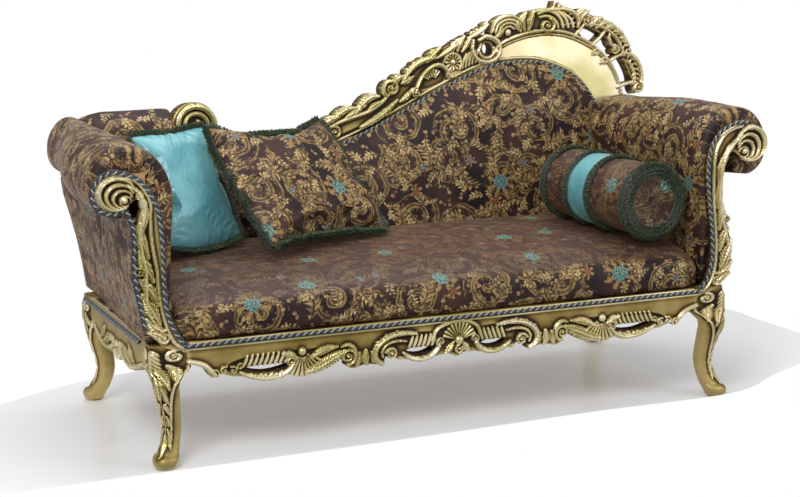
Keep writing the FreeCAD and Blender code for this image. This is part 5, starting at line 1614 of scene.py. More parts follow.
@dataclass
class Facing:
    """Scroll-shaped carved board at the front of an arm.

    Attributes:
        places: Main planes of the chaise.
        palette: The finishes.
        side: "left" or "right".
    """

    places: Places
    palette: Palette
    side: str

    def strokes(self) -> list[Stroke]:
        """Leaf column, neck and scroll of the right facing; those of the left one are moved from them."""
        made: list[Stroke] = []
        made += cuts(Cut.STEM,
                     (8, 5.5, 742, 302, 770, 318, 788, 348, 797, 395, 796, 450, 790, 510, 785, 570, 783, 625, 785,
                      675, 794, 712, 814, 742, 842, 758, 872, 764), tip=0.9, tail=0.9)
        made += cuts(Cut.LEAF, (12, 15, 800, 330, 816, 346, 842, 352), (12, 15, 806, 352, 826, 366, 848, 386),
                     (10, 10, 806, 650, 818, 680, 826, 704), (10, 10, 818, 684, 834, 706, 852, 722), tip=0.3)
        made += cuts(Cut.LEAF, (13, 17, 812, 372, 828, 410, 842, 446), (12, 14, 806, 420, 818, 458, 830, 486),
                     (12, 14, 804, 480, 810, 518, 808, 556), (11, 12, 798, 540, 800, 580, 802, 618),
                     (11, 12, 800, 600, 802, 640, 808, 676), tip=0.35)
        made += cuts(Cut.SCROLL,
                     (12, 8.5, 812, 356, 830, 384, 836, 420, 826, 462, 812, 510, 804, 556, 803, 604, 808, 648, 820,
                      686, 842, 716, 872, 738), tip=0.8, tail=0.6)
        made += coils((800, 336, 20, 100, -1.4, 10, 0.3), (832, 402, 13, 200, 1.4, 12),
                      (824, 480, 12, 220, 1.3, 12), (826, 505, 13, 160, -1.3, 12))
        # Nested crescents that spring from one point, as a shell's ribs do
        made += [boss(880, 694, 9, 13)]
        for number, reach in enumerate((46.0, 35.0, 24.5, 14.0)):
            shift = reach * 0.71
            points = arc(867 + shift, 681 + shift, reach, reach, np.linspace(165, -118, 14))
            width = 7.4 - 1.1 * number
            widths = [width * (0.5 + 0.5 * math.sin(math.pi * min(1.0, 0.12 + 0.8 * k / 13))) for k in range(14)]
            made.append(Stroke(Cut.STEM, 15.0 - 2.0 * number, tuple(zip(points[::2], points[1::2], widths))))
        return made

    def left_place(self, x: float, z: float) -> tuple[float, float]:
        """Move a point of the right facing to its place on the left one, which stands further out.

        Args:
            x: Across, in millimetres.
            z: Height in millimetres.

        Returns:
            Across and height on the left facing, both positive.
        """
        # Inner and outer edge of the column, on the right and on the left
        heights = (353, 400, 443, 504, 557, 601, 646, 690)
        inner, outer, new_inner, new_outer = (np.interp(z, heights, edge) for edge in (
            (774, 783, 783, 778, 771, 765, 763, 766), (849, 849, 845, 831, 816, 812, 815, 826),
            (774, 790, 797, 796, 797, 799, 804, 820), (842, 846, 851, 862, 868, 867, 876, 886)))
        low = np.array([new_inner + (x - inner) / (outer - inner) * (new_outer - new_inner), z])
        # About the scroll's middle: its ring is a little smaller, and the neck outside it draws in
        ring, shrink = 53.0, np.array([0.97, 0.84])
        way = np.array([x - 900.0, z - 714.0])
        angle, far = math.degrees(math.atan2(way[1], way[0])) % 360, math.hypot(*way)
        moved = way * shrink
        if far > ring and 90 < angle < 225:
            old = np.interp(angle, (104, 129, 147, 162, 177, 194, 208), (66, 79, 95, 110, 125, 139, 156))
            new = np.interp(angle, (103, 143, 170, 192, 208), (47, 56, 71, 91, 116))
            edge = math.hypot(*(ring * shrink * way / far))
            moved = (edge + (far - ring) / (old - ring) * max(new - edge, 1.0)) * way / far
        high = moved + (907, 702)
        blend = min(max((z - 600) / 60, 0.0), 1.0)
        blend = blend * blend * (3 - 2 * blend)
        across, up = low * (1 - blend) + high * blend
        return float(across), float(up)

    def build(self) -> bpy.types.Object:
        """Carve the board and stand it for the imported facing."""
        loop = [(750, 300), (772, 300), (806, 312), (830, 340), (846, 372), (850, 410), (846, 448), (834, 486),
                (824, 520), (816, 560), (813, 604), (815, 646), (826, 676), (846, 694), (862, 684), (884, 670),
                (912, 668), (936, 684), (946, 712), (938, 740), (914, 758), (890, 768), (860, 770), (828, 757),
                (799, 738), (776, 704), (766, 656), (768, 600), (776, 520), (784, 470), (786, 400), (774, 346)]
        made = self.strokes()
        placed = self.places.forward
        if self.side == "left":
            loop = [self.left_place(x, z) for x, z in loop]
            made = [Stroke(s.cut, s.height, tuple((*self.left_place(x, z), r) for x, z, r in s.line)) for s in made]
            placed = lambda x, z, h: self.places.forward(-x, z, h)
        carving = Carving(f"carved_{self.side}_facing", [loop], made, step=1.9, thick=21.0)
        return carving.build(placed, self.palette.carved)


@dataclass
class SideRail:
    """Side rail with a scalloped and carved lower edge.

    Attributes:
        palette: The finishes.
        side: "left" or "right".
        relief: Greatest height of its carving in millimetres.
    """

    palette: Palette
    side: str
    relief: float = 9.0

    def build(self) -> bpy.types.Object:
        """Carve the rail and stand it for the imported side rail."""
        low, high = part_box(f"{self.side}_side_rail")
        first, last = low.y / MM, high.y / MM
        middle, reach = (first + last) / 2, (last - first) / 2
        foot = low.z / MM
        drops = ((1, 44), (0.78, 36), (0.6, 10), (0.36, 3), (0.14, 12))
        edge = [(middle - share * reach, foot + drop) for share, drop in drops] + [(middle, foot + 1)]
        edge += [(middle + share * reach, foot + drop) for share, drop in reversed(drops)]
        loop = edge + [(last, 313), (middle, 314), (first, 313)]
        made: list[Stroke] = []
        for way in (-1, 1):
            at = lambda share: middle + way * share * reach
            made += cuts(Cut.SCROLL, (8, 8, at(0.86), foot + 44, at(0.68), foot + 26, at(0.46), foot + 14,
                                      at(0.24), foot + 22, at(0.16), foot + 36), tip=0.6)
            made += cuts(Cut.LEAF, (8, 14, at(0.5), foot + 22, at(0.34), foot + 40, at(0.2), foot + 56),
                         (7, 12, at(0.6), foot + 30, at(0.5), foot + 50, at(0.44), foot + 68), tip=0.3)
            made += coil(at(0.13), foot + 46, 13, 0, 1.3, 8)
        made += rays(middle, foot + 44, 10, 38, 200, 340, 9, 7, 0.42) + [boss(middle, foot + 46, 11, 9)]
        carving = Carving(f"carved_{self.side}_rail", [loop], made, step=2.4)
        sign, outer = (1.0, high.x) if self.side == "right" else (-1.0, -low.x)
        sunk = lambda h: outer + (np.minimum(h, self.relief) - self.relief) * MM
        place = lambda x, z, h: np.stack([sign * sunk(h), x * MM, z * MM], axis=-1)
        return carving.build(place, self.palette.carved)


@dataclass
class Leg:
    """Cabriole leg: a swept S with carving wrapped round its outer corner, and a scrolled foot.

    Attributes:
        palette: The finishes.
        node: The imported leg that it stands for.
        end: "front" or "rear".
        side: "left" or "right".
        top: Height in metres at which it ends, under the rail's cord.
        rows: Rings of points from foot to top.
        around: Points on each ring.
        girth: Half the width of the unrolled leg in millimetres.
        plain: Width in millimetres over which the carving fades out at the back of the leg.
        knee: Height in metres above which the section is nearly square.
    """

    palette: Palette
    node: str
    end: str
    side: str
    top: float = 0.3145
    rows: int = 150
    around: int = 120
    girth: float = 110.0
    plain: float = 20.0
    knee: float = 0.24

    @staticmethod
    def section(edges: tuple[np.ndarray, np.ndarray], z: float) -> tuple[float, float, float, float]:
        """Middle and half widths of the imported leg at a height.

        Args:
            edges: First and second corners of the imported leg's edges.
            z: Height in metres.

        Returns:
            Across and depth of the middle, then half width and half depth.
        """
        first, second = edges
        crossing = (first[:, 2] - z) * (second[:, 2] - z) <= 0
        a, b = first[crossing], second[crossing]
        share = np.clip((z - a[:, 2]) / np.where(b[:, 2] == a[:, 2], 1.0, b[:, 2] - a[:, 2]), 0, 1)[:, None]
        cut = a + (b - a) * share
        low, high = cut.min(axis=0), cut.max(axis=0)
        return (*((low + high) / 2)[:2], *((high - low) / 2)[:2])

    def strokes(self) -> list[Stroke]:
        """Carving on the unrolled leg: across from the outer corner, and up, in millimetres."""
        half = cuts(Cut.LEAF, (8, 13, 4, 262, 14, 236, 30, 206), (7, 11, 4, 236, 10, 208, 18, 182),
                    (7, 11, 24, 262, 38, 242, 52, 222), (5, 9, 10, 90, 16, 70, 26, 52),
                    *((6, 7, 8, z, 16, z - 16, 24, z - 36) for z in (200, 166, 132, 98)), tip=0.3)
        half += cuts(Cut.STEM, (6, 5, 58, 262, 52, 232, 40, 204, 30, 172, 24, 136, 20, 104, 24, 72), tip=0.7)
        half += coils((36, 284, 15, 90, 1.4, 8, 0.3), (14, 158, 9, 90, 1.3, 7, 0.34), (12, 112, 8, 90, 1.3, 7, 0.36))
        made = half + mirrored(half)
        made += cuts(Cut.LEAF, (10, 15, 0, 290, 0, 250, 0, 208, 0, 178), tip=0.3, tail=0.7)
        made += cuts(Cut.STEM, (4, 4, 0, 182, 0, 140, 0, 104, 0, 70), tip=0.9, tail=0.5)
        made += cuts(Cut.LEAF, (7, 12, 0, 84, 0, 60, 0, 36), tip=0.4)
        return made

    def relief(self, heights: np.ndarray) -> np.ndarray:
        """Carve the unrolled leg.

        Args:
            heights: Heights on the leg in metres.

        Returns:
            Height of the carving in millimetres, one row for each height.
        """
        x, z = np.meshgrid(np.linspace(-self.girth, self.girth, self.around), heights / MM)
        reach, raised = np.full(x.shape, -40.0), np.zeros(x.shape)
        carving = Carving("wrap", [], self.strokes())
        for made in carving.strokes:
            carving.carve(made, x, z, reach, raised)
        return np.clip(raised, 0, 12) * np.clip((self.girth - 2 - np.abs(x)) / self.plain, 0, 1)

    def build(self) -> bpy.types.Object:
        """Sweep the leg's section from foot to top, raised by its carving."""
        source = frame["nodes"][self.node].data
        verts = np.array([v.co for v in source.vertices])
        pairs = np.array([edge.vertices[:] for edge in source.edges])
        edges = verts[pairs[:, 0]], verts[pairs[:, 1]]
        margin = 0.0005
        heights = np.linspace(float(verts[:, 2].min()) + margin, min(float(verts[:, 2].max()), self.top) - margin,
                              self.rows)
        relief = self.relief(heights)
        # Angle 0 faces the leg's outer corner
        sx = 1.0 if self.side == "right" else -1.0
        sy = -1.0 if self.end == "front" else 1.0
        theta = np.arange(self.around) / self.around * math.tau
        turn = math.atan2(sy * 0.75, sx) + (theta - math.pi) * sx * -sy
        ways = np.stack([np.cos(turn), np.sin(turn)])
        rings = []
        for height, raised in zip(heights, relief):
            middle_x, middle_y, *half = self.section(edges, float(height))
            power = 2.6 if height < self.knee else 5.0
            size = (np.abs(ways) ** power).sum(axis=0) ** (-1 / power)
            inset = 0.004 * min(max((height - 0.08) / 0.12, 0.0), 1.0) - 0.001
            reach = np.array(half)[:, None]
            out = np.clip((reach - inset) * ways * size + raised * MM * ways * 0.8, -reach - 0.006, reach + 0.006)
            rings.append(np.stack([middle_x + out[0], middle_y + out[1], np.full(self.around, height)], axis=-1))
        name = f"carved_{self.end}_{self.side}_leg"
        built = smooth_object(name, np.vstack(rings), tube(self.rows, self.around), self.palette.carved, fine=1.1)
        # Leaf painted palest where the leg's carving stands proud, as wear and a painted highlight, and darkest in
        # its hollows, as toning and painted shade
        leg_wear_and_light = np.clip(0.5 + (relief - softened(relief, 3)) / 5.0 + (relief - softened(relief, 9)) / 14.0, 0, 1)
        mark(built, "proud", leg_wear_and_light.ravel())
        return outward(built)


# Upholstery


# Outer face of each arm: distance from the middle and height, at the front and at the rear
OUTSIDE = {
    "right": ((828, 319), (828, 360), (826, 420), (822, 480), (816, 540), (813, 590), (815, 634)),
    "left": ((840, 319), (848, 360), (858, 420), (868, 480), (868, 540), (866, 590), (872, 634)),
    "rear": ((806, 319), (815, 377), (832, 459), (848, 535), (862, 591), (868, 634)),
}


@dataclass
class Upholstery:
    """Fixed padding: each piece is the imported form, remeshed, softened and given cloth places.

    Attributes:
        places: Main planes of the chaise.
        palette: The finishes.
        voxel: Size of the remesh in metres.
        rise: Height of the padded rolls over the rails' top in metres.
        depth: Length of an arm's outer face from front to rear in metres.
    """

    places: Places
    palette: Palette
    voxel: float = 0.008
    rise: float = 0.497
    depth: float = 0.66

    def soften(self, node: str, name: str, passes: int, swell: float, finish: Finish) -> bpy.types.Object:
        """Copy a packed form into a soft skin.

        Args:
            node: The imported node.
            name: The piece's name.
            passes: Smoothing passes.
            swell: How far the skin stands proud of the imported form, in metres.
            finish: The cloth.

        Returns:
            The skin, still without cloth places.
        """
        source = frame["nodes"][node]
        mesh = source.data.copy()
        built = linked(name, mesh)
        mesh.transform(source.matrix_world)
        for spare in list(mesh.attributes):
            if not spare.is_internal and not spare.is_required and spare.name != "position":
                mesh.attributes.remove(spare)
        remesh = built.modifiers.new("even", "REMESH")
        remesh.mode = "VOXEL"
        remesh.voxel_size = self.voxel
        graph = bpy.context.evaluated_depsgraph_get()
        evened = bpy.data.meshes.new_from_object(built.evaluated_get(graph))
        built.modifiers.clear()
        built.data = evened
        evened.name = name
        work = bmesh.new()
        work.from_mesh(evened)
        for _ in range(passes):
            bmesh.ops.smooth_vert(work, verts=work.verts, factor=0.5, use_axis_x=True, use_axis_y=True,
                                  use_axis_z=True)
        work.normal_update()
        ripple = lambda p: math.sin(p.x * 23 + 3 * math.sin(p.y * 11)) * math.sin(p.y * 19 + p.z * 13)
        for vert in work.verts:
            vert.co += vert.normal * (swell + 0.0007 * ripple(vert.co))
        work.to_mesh(evened)
        work.free()
        evened.materials.clear()
        evened.materials.append(finish.material())
        evened.polygons.foreach_set("use_smooth", [True] * len(evened.polygons))
        return built

    def lay(self, built: bpy.types.Object, cloth: Callable[[np.ndarray], np.ndarray]) -> bpy.types.Object:
        """Give a skin its cloth places.

        Args:
            built: The skin.
            cloth: Gives places on the cloth in metres for points of the skin.

        Returns:
            The skin.
        """
        corners = np.empty(len(built.data.loops), dtype=np.int64)
        built.data.loops.foreach_get("vertex_index", corners)
        lay_cloth(built, cloth(points_of(built))[corners])
        return built

    def seat(self) -> bpy.types.Object:
        """Upholster the seat, tight over its edge roll."""
        built = self.soften("seat_cover", "padded_seat", 8, 0.0016, self.palette.seat)
        low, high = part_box("seat_cover")
        run = np.array([(low.y, low.z), (low.y, 0.392), (low.y + 0.014, 0.412), (low.y + 0.04, 0.42),
                        (high.y, high.z)])

        def cloth(points: np.ndarray) -> np.ndarray:
            """Across the seat, and back from the front rail over its edge roll."""
            along = distance(run, points[:, 1], points[:, 2])[1]
            return np.stack([points[:, 0], along], axis=-1)

        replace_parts(self.lay(built, cloth), "seat_cover")
        return built

    def roll(self, node: str, name: str, foot: float, width: float, axis: int, sign: float,
             moved: Callable[[np.ndarray], np.ndarray]) -> bpy.types.Object:
        """Upholster a padded roll.

        Args:
            node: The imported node.
            name: The piece's name.
            foot: Place of the roll's inner foot on the axis across it, in metres.
            width: Width of the roll in metres.
            axis: The axis across the roll: 0 or 1.
            sign: Direction from the inner foot outwards.
            moved: How the roll departs from the even section.

        Returns:
            The padded roll.
        """
        built = self.soften(node, name, 9, 0.0012, self.palette.brocade)
        # The section, as shares of the width and of the rise
        shares = [(0.056, 0.02), (0.03, 0.34), (0.028, 0.64), (0.06, 0.80), (0.139, 0.895),
                  (0.30, 0.975), (0.556, 1.0), (0.80, 0.96), (0.95, 0.88), (1.0, 0.815), (0.93, 0.71),
                  (0.741, 0.646), (0.519, 0.642)]
        run = np.array(shares) * (width, self.rise)

        def cloth(points: np.ndarray) -> np.ndarray:
            """Along the roll, and round its section; ends are measured inwards as well."""
            across = (points[:, axis] - foot) * sign
            far, along = distance(run, across, points[:, 2] - self.places.rail_top)[:2]
            return np.stack([points[:, 1 - axis] + np.clip(far - 0.006, 0, 1), along + 3.1 * (axis + 1)], axis=-1)

        self.lay(built, cloth)
        move_points(built, moved(points_of(built)))
        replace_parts(built, node)
        return built

    def back(self) -> bpy.types.Object:
        """Upholster the back inside the crest: it swells from its piped edge, and is flat behind."""
        rim = ease(((-556, 716), *PIPING), 3.0)
        across = np.concatenate([np.linspace(-554, 700, 170), np.linspace(704, 824, 50)])
        tops = np.interp(across, rim[:, 0], rim[:, 1])
        rise = 1 - (1 - np.linspace(0, 1, 84)) ** 1.5
        foot = 386
        x = np.repeat(across[:, None], len(rise), axis=1)
        z = foot + (tops[:, None] - foot) * rise
        deep = distance(rim, x, z)[0]
        swell = np.sin(np.pi / 2 * np.clip(deep / 175, 0, 1))
        slack = np.sin(z / 17 + 2.2 * np.sin(x / 190)) * np.clip((520 - z) / 120, 0, 1) * 1.6
        pull = np.sin(x / 21 + 1.5 * np.sin(x / 57)) * np.exp(-((deep - 14) / 12) ** 2) * 0.8
        height = 9.5 + 70 * swell + slack + pull
        loops = [np.stack([x, z, height], axis=-1)]
        for share, depth in ((1.0, 1.0), (0.5, 0.0), (0.0, 0.0)):
            row = foot + (tops - foot) * share
            loops.append(np.stack([across, row, np.full(len(across), depth)], axis=-1)[:, None])
        grid = np.concatenate(loops, axis=1)
        points = self.places.leaned(*grid.reshape(-1, 3).T)
        built = outward(smooth_object("padded_back", points, tube(*grid.shape[:2]), self.palette.brocade))
        self.lay(built, lambda p: np.stack([p[:, 0] + 7.3, p[:, 2] + 0.2 * p[:, 1]], axis=-1))
        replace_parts(built, "back_pad")
        return built

    def wall(self, side: str, y: Any, z: Any) -> np.ndarray:
        """Measure how far an arm's outer face stands from the middle.

        Args:
            side: "left" or "right".
            y: Depths in metres.
            z: Heights in metres.

        Returns:
            Distances in metres.
        """
        t = np.clip((y - self.places.front) / self.depth, 0, 1)
        near, far = np.array(OUTSIDE[side]) * MM, np.array(OUTSIDE["rear"]) * MM
        return np.interp(z, near[:, 1], near[:, 0]) * (1 - t) + np.interp(z, far[:, 1], far[:, 0]) * t

    def outside(self, side: str, sign: float) -> bpy.types.Object:
        """Cover the outside of an arm, with its front post, from the rail up to the roll.

        Args:
            side: "left" or "right".
            sign: Direction of that side along x.

        Returns:
            The covered side.
        """
        line = ease(OUTSIDE[side], 6.0)
        covered = [f"{side}_outside_panel", f"{side}_arm_front_post", f"{side}_back_post"]
        rear = max(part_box(node)[1].y for node in covered) + 0.002
        # The first and the last ring are drawn in, so that the edges are rounded
        count, thick = 90, 34
        start = self.places.front + 0.0225
        depth = [start, *np.linspace(start + 0.0035, rear - 0.004, count), rear]
        bulge = [-4.0, *np.zeros(count), -6.0]
        rings = []
        for y, shift in zip(depth, bulge):
            soft = 1.6 * np.sin(line[:, 1] / 41 + y * 9) * math.sin(y * 14)
            face = self.wall(side, y, line[:, 1] * MM) / MM
            out = np.stack([face + shift + soft, np.full(len(line), y / MM), line[:, 1]], axis=-1)
            back = np.stack([face - thick, np.full(len(line), y / MM), line[:, 1]], axis=-1)
            rings.append(np.vstack([out, back[::-1]]))
        points = np.vstack(rings) * MM * np.array([sign, 1, 1])
        faces = tube(len(rings), len(rings[0]))
        built = outward(smooth_object(f"covered_{side}_outside", points, faces, self.palette.brocade, fine=2.0))
        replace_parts(self.lay(built, lambda p: np.stack([p[:, 1] + 2.6 * sign, p[:, 2]], axis=-1)), *covered)
        return built

    def trim_low_back(self, points: np.ndarray) -> np.ndarray:
        """Round the low back off where it meets the left arm's roll.

        Args:
            points: Its points, one row each.

        Returns:
            Their new places.
        """
        x, y, z = points.T
        t = np.clip((-x - 0.74) / 0.13, 0, 1) ** 1.6
        return np.stack([x, y - 0.02 * t, self.lowered(z, 0.07 * t)], axis=-1)

    def lowered(self, z: np.ndarray, share: np.ndarray) -> np.ndarray:
        """Lower heights by a share of what they stand over the rails.

        Args:
            z: The heights in metres.
            share: Share to take off each one.

        Returns:
            The lowered heights.
        """
        return self.places.rail_top + (z - self.places.rail_top) * (1 - share)

    def trim_arm(self, side: str) -> Callable[[np.ndarray], np.ndarray]:
        """Say how an arm's roll departs from an even one: its neck, and its fall towards the rear.

        Args:
            side: "left" or "right".

        Returns:
            What moves the roll's points.
        """
        def moved(points: np.ndarray) -> np.ndarray:
            """Move the points of the roll."""
            x, y, z = np.abs(points[:, 0]), points[:, 1], points[:, 2]
            sign = np.sign(points[:, 0])
            limit = self.wall(side, y, z) - 0.003
            t = np.clip((y + 0.16) / 0.44, 0, 1)
            t = t * t * (3 - 2 * t)
            x = np.where((z < 0.634) & (x > limit), limit, x)
            if side == "left":
                over = np.clip((x - 0.80) / 0.04, 0, 1)
                x = np.where(x > 0.80, 0.80 + (x - 0.80) * (1 - 0.36 * t), x)
                z = np.where(z < 0.78, z + (0.78 - z) * 0.16 * t * over * np.clip((z - 0.55) / 0.08, 0, 1), z)
                z = self.lowered(z, 0.018 * t)
            else:
                over = np.clip((x - 0.86) / 0.05, 0, 1)
                z = z - 0.016 * over * np.clip((0.80 - z) / 0.12, 0, 1)
                x = x + 0.008 * over
                z = self.lowered(z, 0.058 * t)
            return np.stack([sign * x, y, z], axis=-1)

        return moved

    def build(self) -> list[bpy.types.Object]:
        """Upholster seat, arms, low back and back."""
        foot = self.places.half - 0.085
        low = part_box("low_back_pad")[0]
        return [self.seat(), self.back(), self.outside("right", 1.0), self.outside("left", -1.0),
                self.roll("right_arm_pad", "padded_right_arm", foot, 0.216, 0, 1.0, self.trim_arm("right")),
                self.roll("left_arm_pad", "padded_left_arm", -foot, 0.216, 0, -1.0, self.trim_arm("left")),
                self.roll("low_back_pad", "padded_low_back", low.y - 0.004, 0.172, 1, 1.0, self.trim_low_back)]


# Trimmings


def unit(rows: np.ndarray) -> np.ndarray:
    """Scale each row to a length of 1.

    Args:
        rows: Vectors, one row each.

    Returns:
        The scaled rows.
    """
    return rows / np.maximum(np.linalg.norm(rows, axis=1), 1e-9)[:, None]


def run_along(line: np.ndarray) -> np.ndarray:
    """Length run so far at each point of a line in space.

    Args:
        line: The line, one row for each point.

    Returns:
        One length for each point.
    """
    return np.concatenate([[0], np.cumsum(np.linalg.norm(np.diff(line, axis=0), axis=1))])


def even(line: np.ndarray, step: float) -> np.ndarray:
    """Space the points of a line evenly.

    Args:
        line: The line, one row for each point.
        step: Distance between new points, or as near it as fits.

    Returns:
        The new line.
    """
    run = run_along(line)
    marks = np.linspace(0, run[-1], max(3, int(run[-1] / step)))
    return np.stack([np.interp(marks, run, line[:, axis]) for axis in range(3)], axis=-1)


@dataclass
class Gimp:
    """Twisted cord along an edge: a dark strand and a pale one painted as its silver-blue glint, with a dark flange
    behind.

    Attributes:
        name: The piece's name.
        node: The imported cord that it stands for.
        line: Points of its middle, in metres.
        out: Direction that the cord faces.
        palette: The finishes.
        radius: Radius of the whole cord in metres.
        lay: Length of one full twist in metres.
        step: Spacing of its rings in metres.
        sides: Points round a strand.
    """

    name: str
    node: str
    line: np.ndarray
    out: tuple[float, float, float]
    palette: Palette
    radius: float = 0.0052
    lay: float = 0.019
    step: float = 0.0022
    sides: int = 7

    def build(self) -> bpy.types.Object:
        """Twist the strands along the edge, in front of their flange."""
        line = even(self.line, self.step)
        ways = unit(np.gradient(line, axis=0))
        across = unit(np.cross(ways, np.array(self.out, dtype=float)))
        face = np.cross(across, ways)
        around = np.arange(self.sides) / self.sides * math.tau
        points: list[np.ndarray] = []
        faces: list[tuple[int, ...]] = []
        tones: list[float] = []
        # Tone (1 for the strand painted pale as a glint), distance from the cord's middle and thickness of each
        # strand; the flange doesn't wind
        for tone, offset, thick in ((0.0, 0.5, 0.56), (1.0, 0.5, 0.56), (0.0, 0.0, 0.72)):
            turn = run_along(line) / self.lay * math.tau + tone * math.pi
            shift = (np.cos(turn)[:, None] * across + np.sin(turn)[:, None] * face) * offset
            if not offset:
                shift = across * 0.75 - face * 0.5
            rings = [shift + (math.cos(angle) * across + math.sin(angle) * face) * thick for angle in around]
            points.append((line[:, None] + np.stack(rings, axis=1) * self.radius).reshape(-1, 3))
            faces += tube(len(line), self.sides, len(tones))
            tones += [tone] * len(points[-1])
        built = outward(smooth_object(self.name, np.vstack(points), faces, self.palette.cord, fine=1.4))
        mark(built, "strand", tones)
        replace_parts(built, self.node)
        return built


def pile(name: str, line: np.ndarray, out: np.ndarray, over: np.ndarray, length: float, spread: float,
         spacing: float, palette: Palette, seed: int) -> bpy.types.Object:
    """Sew a cut fringe: short tufts that stand out along a line.

    Args:
        name: The piece's name.
        line: Points of the seam, in metres, evenly spaced.
        out: Direction that tufts point in, one row for each point.
        over: Direction across the fringe, one row for each point.
        length: Length of a tuft.
        spread: Width of the fringe across.
        spacing: Distance between tufts.
        palette: The finishes.
        seed: Start of the random numbers.

    Returns:
        The fringe.
    """
    chance = np.random.default_rng(seed)
    run = run_along(line)
    third = math.tau / 3
    points, faces = [], []
    for row in (-1.0, -0.5, 0.0, 0.5, 1.0):
        for mark in np.arange(0, run[-1], spacing):
            place = mark + chance.uniform(-0.4, 0.4) * spacing
            at = np.array([np.interp(place, run, line[:, axis]) for axis in range(3)])
            near = min(int(np.searchsorted(run, place)), len(line) - 1)
            way, wide = out[near], over[near]
            side = np.cross(way, wide)
            lean = wide * (row * 0.5 + chance.normal(0, 0.16)) + side * chance.normal(0, 0.22)
            way = way + lean
            way /= np.linalg.norm(way)
            reach = length * (1 - 0.16 * abs(row)) * chance.uniform(0.82, 1.08)
            foot = at + wide * row * spread * 0.3
            thick = chance.uniform(0.0012, 0.0019)
            a = np.cross(way, side)
            a /= np.linalg.norm(a)
            b = np.cross(way, a)
            start = len(points)
            for share, fat in ((0.0, 0.9), (0.55, 1.15), (0.9, 0.8)):
                for angle in (0, third, 2 * third):
                    points.append(foot + way * reach * share
                                  + (a * math.cos(angle) + b * math.sin(angle)) * thick * fat)
            points.append(foot + way * reach)
            for ring in (0, 3):
                for c in range(3):
                    faces.append((start + ring + c, start + ring + (c + 1) % 3, start + ring + 3 + (c + 1) % 3,
                                  start + ring + 3 + c))
            faces += [(start + 6 + c, start + 6 + (c + 1) % 3, start + 9) for c in range(3)]
            faces.append((start + 2, start + 1, start))
    return smooth_object(name, points, faces, palette.fringe)


# Loose cushions


